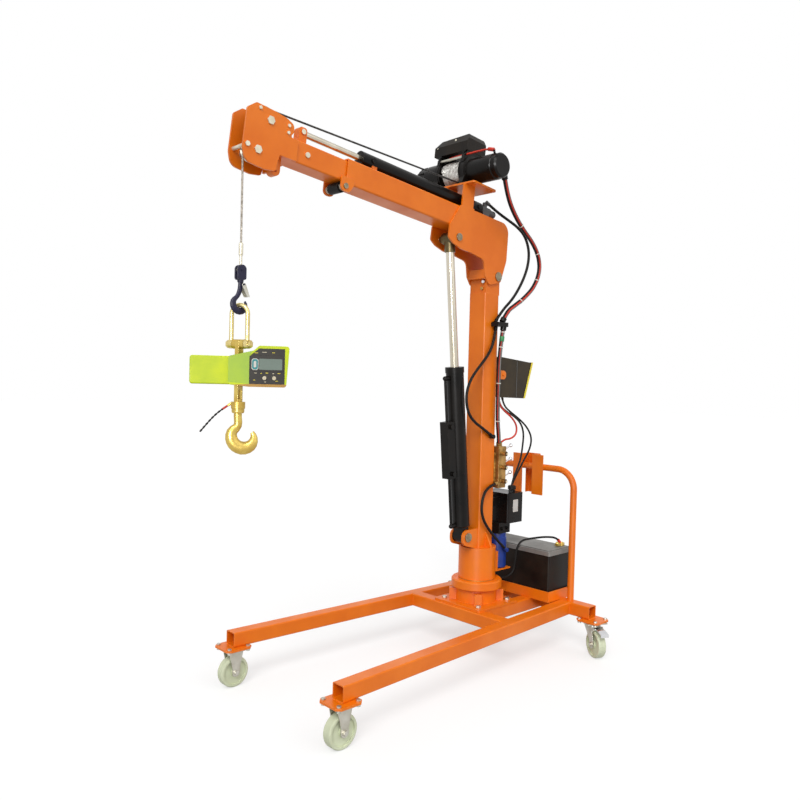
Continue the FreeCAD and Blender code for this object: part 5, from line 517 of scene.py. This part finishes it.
def layRope(name, line, node, bodies, step=rope["step"], sides=rope["sides"],
            strandFinish="wireStrand"):
    strands = twistedLay(rope["radius"] / metre, rope["strands"], rope["lay"])
    points, faces, faceFinish, line = strandTubes(line, strands, sides, step)
    piece = addMesh(name, points, faces, (strandFinish,), faceFinish)
    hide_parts(node)
    if len(bodies) == 2:
        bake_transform(piece)
    else:
        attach(piece, bodies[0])


leave, crown = onBoom(*rope["leaves"]), onBoom(*rope["crown"])
layRope("boomRope", [leave, crown], "boom_rope", ("boom", "inner_boom"),
        strandFinish="greasedStrand")
upper, lower = rope["upperSheave"], rope["lowerSheave"]
apart = math.hypot(lower[0] - upper[0], lower[1] - upper[1])
tangent = math.degrees(math.acos((upper[2] - lower[2]) / apart)
                       + math.atan2(lower[1] - upper[1], lower[0] - upper[0]))
overHead = list(arc(upper, upper[2], 90 + rope["boomLean"], tangent, rope["sheaveSteps"][0]))
overHead += list(arc(lower, lower[2], tangent, 0, rope["sheaveSteps"][1]))
layRope("headRope", overHead, "head_rope", ("inner_boom",))
fallX = lower[0] + lower[2]
fallTop, fallFoot = at(fallX, 0, lower[1] - rope["lap"]), at(fallX, 0, rope["hookEnd"])
layRope("fallRope", [fallTop, fallFoot], "fall_rope", ("fall", "winch_hook"))


def windingLine():
    low, high = rope["drumEnds"]
    steps = int(rope["turns"] * rope["turnSteps"])
    for i in range(steps + 1):
        turn = math.radians(-90 + 360 * rope["turns"] * (i / steps - 1))
        yield onBoom(rope["drum"][0] + rope["wrapRadius"] * math.cos(turn),
                     low + (high - low) * i / steps,
                     rope["drum"][1] + rope["wrapRadius"] * math.sin(turn))


layRope("drumWinding", list(windingLine()), "drum_rope", ("winch_drum",),
        step=rope["woundStep"], sides=rope["woundSides"], strandFinish="windingStrand")
print("wire rope laid")

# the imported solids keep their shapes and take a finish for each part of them
slotFinishes = {
    "orange_paint": "orangePaint", "black_paint": "blackPaint", "zinc_steel": "zincSteel",
    "chrome": "chromeSteel", "bronze": "bronzeMetal", "nylon": "paleNylon",
    "black_plastic": "blackPlastic", "black_rubber": "blackRubber", "blue_paint": "bluePaint",
    "silver_tank": "tankPaint", "hook_paint": "hookPaint", "gold_paint": "goldPaint",
    "lime_plastic": "limePlastic", "key_plastic": "keyPlastic", "white_plastic": "whitePlastic",
    "wire_rope": "wireStrand"}
nodeFinishes = {"head_pins": "creamSteel", "boom_pins": "pinSteel", "telescope_rod": "rodSteel",
                "lift_rod": "rodSteel", "valve_block": "castBrass", "control_box": "boxPlastic",
                "winch_drum": "blackPaint", "boom_roller": "blackRubber"}
cornersPerMetre = 20000        # corners closer than one step of this are the same corner


def islandsOf(mesh):
    # which separate solid each face belongs to, found from the places its corners share
    count = len(mesh.vertices)
    places = np.zeros(count * 3)
    mesh.vertices.foreach_get("co", places)
    places = places.reshape(-1, 3)
    _, same = np.unique(np.round(places * cornersPerMetre).astype(np.int64), axis=0, return_inverse=True)
    same = same.reshape(-1)
    corners = np.array([list(p.vertices)[:3] for p in mesh.polygons])
    joined = same[corners]
    label = np.arange(same.max() + 1)
    while True:
        lowest = label[joined].min(axis=1)
        new = label.copy()
        for k in range(3):
            np.minimum.at(new, joined[:, k], lowest)
        new = new[new]
        if (new == label).all():
            break
        label = new
    faceLabel = label[joined[:, 0]]
    found = []
    for value in np.unique(faceLabel):
        members = np.nonzero(faceLabel == value)[0]
        spots = places[corners[members].reshape(-1)]
        low, high = spots.min(axis=0) * metre, spots.max(axis=0) * metre
        low[0] -= mastX
        high[0] -= mastX
        found.append((members, low, high))
    return sorted(found, key=lambda f: -np.prod(f[2] - f[1]))


def paintFaces(nodeName, finishName, test):
    # test sees a face's middle in mm from the slewing axis, its normal, and its solid's rank and box
    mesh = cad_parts[nodeName].data
    names = [m.name for m in mesh.materials]
    if finishName not in names:
        mesh.materials.append(finish(finishName))
        names.append(finishName)
    index = names.index(finishName)
    for rank, (members, low, high) in enumerate(islandsOf(mesh)):
        for face in members:
            polygon = mesh.polygons[int(face)]
            middle = polygon.center * metre
            middle.x -= mastX
            if test(middle, polygon.normal, rank, low, high):
                polygon.material_index = index


for nodeName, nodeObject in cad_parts.items():
    for materialSlot in nodeObject.material_slots:
        given = materialSlot.material.name.split(".")[0]
        materialSlot.material = finish(nodeFinishes.get(nodeName, slotFinishes.get(given, "zincSteel")))

wholeSolids = {
    # node: finish of a whole solid by its rank in size
    "winch_frame": {1: "orangePaint"}, "mast_brackets": {0: "orangePaint", 1: "orangePaint"},
    "mast_fittings": {2: "pinSteel"}, "pump_unit": {1: "blackPaint"},
    "oil_tank": {1: "blackPlastic"},
    "battery": {1: "greyRubber", 2: "brassMetal", 3: "brassMetal"},
    "telescope_rod": {1: "orangePaint", 2: "creamSteel", 3: "creamSteel"},
    "winch_hook": {1: "creamSteel"}, "scale_link": {0: "paleGold"},
    "scale_housing": {1: "panelPlastic"}}
for nodeName, ranks in wholeSolids.items():
    for wanted, finishName in ranks.items():
        paintFaces(nodeName, finishName, lambda c, n, rank, low, high, w=wanted: rank == w)

displayOut = Vector((0.52992, 0.848048, 0))       # the scale's display looks this way
displayAcross = Vector((-0.848048, 0.52992, 0))
edges = {"drum": (-118, -20), "postEnds": 20.5, "telescopeValve": 60, "rodEye": 95, "rollerEnds": 41,
         "portTips": 94, "portRims": (68, 91), "bandTop": 1252, "bandStart": -1110,
         "shoulder": (-1166, -1090), "facing": 0.9, "alongBar": 0.5}      # mm, and shares of a normal


def between(value, limits):
    return limits[0] < value < limits[1]


faceMarks = [
    ("winch_frame", "zincSteel", lambda c, n, rank, low, high: rank == 0
     and between(c.y, edges["drum"]) and abs(n.y) < edges["alongBar"]),
    ("telescope_rod", "creamSteel",
     lambda c, n, rank, low, high: rank == 1 and abs(c.y) > edges["postEnds"]),
    ("telescope_barrel", "greyPlastic",
     lambda c, n, rank, low, high: rank == 1 and c.x < edges["telescopeValve"]),
    ("lift_rod", "oiledBronze", lambda c, n, rank, low, high: c.z > high[2] - edges["rodEye"]),
    ("boom_roller", "creamSteel", lambda c, n, rank, low, high: abs(c.y) > edges["rollerEnds"]),
    ("control_box", "yellowPaint",
     lambda c, n, rank, low, high: rank == 1 and n.y > edges["facing"]),
    ("valve_block", "creamSteel",
     lambda c, n, rank, low, high: c.y > edges["portTips"] and n.y > edges["facing"]),
    ("valve_block", "blackPaint",
     lambda c, n, rank, low, high: between(c.y, edges["portRims"]) and n.y > edges["facing"]),
    ("scale_housing", "bandPlastic", lambda c, n, rank, low, high: rank == 0
     and c.z < edges["bandTop"] and c.dot(displayAcross) > edges["bandStart"]),
    ("scale_housing", "shoulderPlastic", lambda c, n, rank, low, high: rank == 0
     and between(c.dot(displayAcross), edges["shoulder"]) and c.z > edges["bandTop"]),
]
for nodeName, finishName, test in faceMarks:
    paintFaces(nodeName, finishName, test)
print("finishes given")


# small pieces set on the surfaces: plates, marks and screw heads
def roundedOutline(left, right, low, high, corner, steps=5):
    outline = []
    for centreX, centreY, first in ((right - corner, high - corner, 0), (left + corner, high - corner, 90),
                                    (left + corner, low + corner, 180), (right - corner, low + corner, 270)):
        for i in range(steps + 1):
            angle = math.radians(first + 90 * i / steps)
            outline.append((centreX + corner * math.cos(angle), centreY + corner * math.sin(angle)))
    return outline


def slab(name, outline, across, out, base, top, finishName, body, edge=0.4):
    # a thin plate that stands from base to top along out, with a softened rim
    across, out = Vector(across).normalized(), Vector(out).normalized()
    up = Vector((0, 0, 1))
    count = len(outline)
    middleX = sum(p[0] for p in outline) / count
    middleY = sum(p[1] for p in outline) / count

    def place(p, away, shrink=0.0):
        x, y = p
        if shrink:
            dx, dy = x - middleX, y - middleY
            far = math.hypot(dx, dy) or 1
            x, y = x - dx / far * shrink, y - dy / far * shrink
        spot = across * x + up * y + out * away
        return at(*spot)

    loops = [[place(p, base) for p in outline], [place(p, top - edge) for p in outline],
             [place(p, top, edge) for p in outline]]
    points = [p for loop in loops for p in loop]
    faces = []
    for k in range(len(loops) - 1):
        for i in range(count):
            j = (i + 1) % count
            faces.append((k * count + i, k * count + j, (k + 1) * count + j, (k + 1) * count + i))
    faces.append(tuple((len(loops) - 1) * count + i for i in range(count)))
    faces.append(tuple(reversed(range(count))))
    piece = addMesh(name, points, faces, (finishName,), smooth=False)
    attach(piece, body)


# the display's layers lie on its front; boxes are across and up, and depths run out from the front
display = {"front": 726.2, "window": (-1080, -969, 1294, 1347), "glass": (-1054, -973, 1299, 1338),
           "digit": (-1078, -1058, 1300, 1336), "digitStroke": 5.5, "rim": 2.2, "edge": 0.3,
           "windowDepth": (-2.2, 1.0), "glassDepth": (0.4, 1.5), "zeroDepth": (1.2, 2.1),
           "middleDepth": (1.8, 2.6), "markDepth": (-0.4, 0.5), "markHalf": 1.2,
           "corners": {"window": 4, "glass": 3, "rim": 8, "digit": 7, "middle": 4, "mark": 1.1},
           "marks": ((-1066, 1287, 9), (-1046, 1286, 6), (-1026, 1288, 10), (-1004, 1286, 7),
                     (-984, 1287, 9), (-1064, 1358, 12), (-1036, 1361, 16), (-1004, 1360, 10),
                     (-1070, 1262, 8), (-1032, 1256, 7), (-992, 1260, 9))}


def dressDisplay(d):
    def onPanel(name, box, corner, depth, finishName):
        slab(name, roundedOutline(*box, d["corners"][corner]), displayAcross, displayOut,
             d["front"] + depth[0], d["front"] + depth[1], finishName, "load_scale",
             edge=d["edge"])

    onPanel("displayFrame", d["window"], "window", d["windowDepth"], "panelPlastic")
    onPanel("displayGlass", d["glass"], "glass", d["glassDepth"], "lampGlass")
    left, right, low, high = d["digit"]
    rim, stroke, half = d["rim"], d["digitStroke"], d["markHalf"]
    onPanel("digitRim", (left - rim, right + rim, low - rim, high + rim), "rim", d["glassDepth"],
            "whitePlastic")
    onPanel("digitZero", d["digit"], "digit", d["zeroDepth"], "tealMark")
    onPanel("digitMiddle", (left + stroke, right - stroke, low + stroke + 1, high - stroke - 1),
            "middle", d["middleDepth"], "whitePlastic")
    for k, (x, z, length) in enumerate(d["marks"]):
        onPanel(f"panelMark{k + 1}", (x - length / 2, x + length / 2, z - half, z + half), "mark",
                d["markDepth"], "yellowPaint" if k % 3 else "keyPlastic")


dressDisplay(display)


# a pan head, turned round its axis: share of its radius and height at each ring of the dome
screw = {"sides": 20, "sunk": 0.6, "dome": ((1, 0.45), (0.92, 0.75), (0.7, 0.93), (0.35, 1))}


def headScrew(name, place, axis, radius, height, finishName, body):
    axis = Vector(axis).normalized()
    side = axis.orthogonal().normalized()
    other = axis.cross(side)
    profile = [(radius, -screw["sunk"])]
    profile += [(radius * wide, height * tall) for wide, tall in screw["dome"]]
    sides = screw["sides"]
    points = []
    for away, rise in profile:
        for i in range(sides):
            angle = 2 * math.pi * i / sides
            points.append(at(*(Vector(place) + axis * rise
                               + (side * math.cos(angle) + other * math.sin(angle)) * away)))
    faces = []
    for k in range(len(profile) - 1):
        for i in range(sides):
            j = (i + 1) % sides
            faces.append((k * sides + i, k * sides + j, (k + 1) * sides + j, (k + 1) * sides + i))
    faces.append(tuple((len(profile) - 1) * sides + i for i in range(sides)))
    faces.append(tuple(reversed(range(sides))))
    piece = addMesh(name, points, faces, (finishName,))
    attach(piece, body)


def sidePlate(name, plate, finishName):
    # a plate on a face that looks along +y; its box runs along -x and up
    slab(name, roundedOutline(*plate["box"], plate["corner"]), (-1, 0, 0), (0, 1, 0),
         plate["face"] - plate["sunk"], plate["face"] + plate["proud"], finishName, "mast")


tankPlate = {"box": (158, 196, 648, 708), "face": 84, "proud": 0.8, "sunk": 0.3, "corner": 3,
             "rivets": ((-162, 652), (-192, 652), (-162, 704), (-192, 704)),
             "rivetRadius": 1.8, "rivetHeight": 1.2}
sidePlate("tankPlate", tankPlate, "blankPlate")
for k, (x, z) in enumerate(tankPlate["rivets"]):
    headScrew(f"tankPlateRivet{k + 1}", (x, tankPlate["face"] + tankPlate["proud"], z), (0, 1, 0),
              tankPlate["rivetRadius"], tankPlate["rivetHeight"], "creamSteel", "mast")
headScrews = {
    # name: place in mm, axis, radius, height, finish, body
    "boxScrewMiddle": ((167.2, -54, 2384), (1, 0, 0.1), 5, 2.6, "creamSteel", "boom"),
    "boxScrewEnd": ((167.2, -168, 2366), (1, 0, 0.1), 3, 1.8, "creamSteel", "boom"),
    "mastBolt": ((50, 34, 1742), (1, 0, 0), 9, 5, "chromeSteel", "mast")}
for screwName, (place, axis, radius, height, finishName, body) in headScrews.items():
    headScrew(screwName, place, axis, radius, height, finishName, body)
controlBoxSeam = {"box": (200, 203, 1204, 1378), "face": 50, "proud": 1.2, "sunk": 0.3, "corner": 1.5}
sidePlate("controlBoxSeam", controlBoxSeam, "greyPlastic")
print("display and plate set")

# floor and light: a white studio with soft shadows
studio = {"floorSide": 60, "floorGlow": 0.56, "floorColour": 0.46, "worldLight": 0.62,
          "keyStrength": 1.5, "keySpread": 24, "keyTurn": (48, 8, 118),
          "fillStrength": 0.55, "fillSpread": 60, "fillTurn": (58, 0, 190),
          "glintStrength": 2.4, "glintSpread": 14, "glintTurn": (84, 0, 128)}


def seenShare(tree):
    # 1 for rays that show the background itself: camera, mirror and see-through rays
    path = tree.nodes.new("ShaderNodeLightPath")
    first = tree.nodes.new("ShaderNodeMath")
    second = tree.nodes.new("ShaderNodeMath")
    first.operation = second.operation = "MAXIMUM"
    tree.links.new(path.outputs["Is Camera Ray"], first.inputs[0])
    tree.links.new(path.outputs["Is Glossy Ray"], first.inputs[1])
    tree.links.new(first.outputs[0], second.inputs[0])
    tree.links.new(path.outputs["Is Transmission Ray"], second.inputs[1])
    return second.outputs[0]


def makeFloor():
    half = studio["floorSide"] / 2
    mesh = bpy.data.meshes.new("studioFloor")
    mesh.from_pydata([(-half, -half, 0), (half, -half, 0), (half, half, 0), (-half, half, 0)], [],
                     [(0, 1, 2, 3)])
    material = bpy.data.materials.new("studioFloor")
    material.use_nodes = True
    tree = material.node_tree
    tree.nodes.clear()
    out = tree.nodes.new("ShaderNodeOutputMaterial")
    both = tree.nodes.new("ShaderNodeAddShader")
    matt = tree.nodes.new("ShaderNodeBsdfDiffuse")
    glow = tree.nodes.new("ShaderNodeEmission")
    strength = tree.nodes.new("ShaderNodeMath")
    strength.operation = "MULTIPLY"
    strength.inputs[1].default_value = studio["floorGlow"]
    tree.links.new(seenShare(tree), strength.inputs[0])
    tree.links.new(strength.outputs[0], glow.inputs["Strength"])
    matt.inputs["Color"].default_value = (*[studio["floorColour"]] * 3, 1)
    tree.links.new(matt.outputs[0], both.inputs[0])
    tree.links.new(glow.outputs[0], both.inputs[1])
    tree.links.new(both.outputs[0], out.inputs["Surface"])
    mesh.materials.append(material)
    floor = bpy.data.objects.new("studioFloor", mesh)
    bpy.context.scene.collection.objects.link(floor)


def makeLight():
    world = bpy.data.worlds.new("studioWorld")
    bpy.context.scene.world = world
    world.use_nodes = True
    tree = world.node_tree
    background = tree.nodes["Background"]
    background.inputs["Color"].default_value = (1, 1, 1, 1)
    level = tree.nodes.new("ShaderNodeMapRange")
    level.inputs["To Min"].default_value = studio["worldLight"]
    level.inputs["To Max"].default_value = 1
    tree.links.new(seenShare(tree), level.inputs["Value"])
    tree.links.new(level.outputs["Result"], background.inputs["Strength"])
    for name in ("key", "fill", "glint"):
        data = bpy.data.lights.new(name + "Lamp", "SUN")
        data.energy = studio[name + "Strength"]
        data.angle = math.radians(studio[name + "Spread"])
        lamp = bpy.data.objects.new(name + "Lamp", data)
        lamp.rotation_euler = [math.radians(a) for a in studio[name + "Turn"]]
        lamp.visible_diffuse = name != "glint"      # the glint only makes highlights
        bpy.context.scene.collection.objects.link(lamp)


makeFloor()
makeLight()
bpy.context.scene.view_settings.view_transform = "Standard"
print("studio lit")
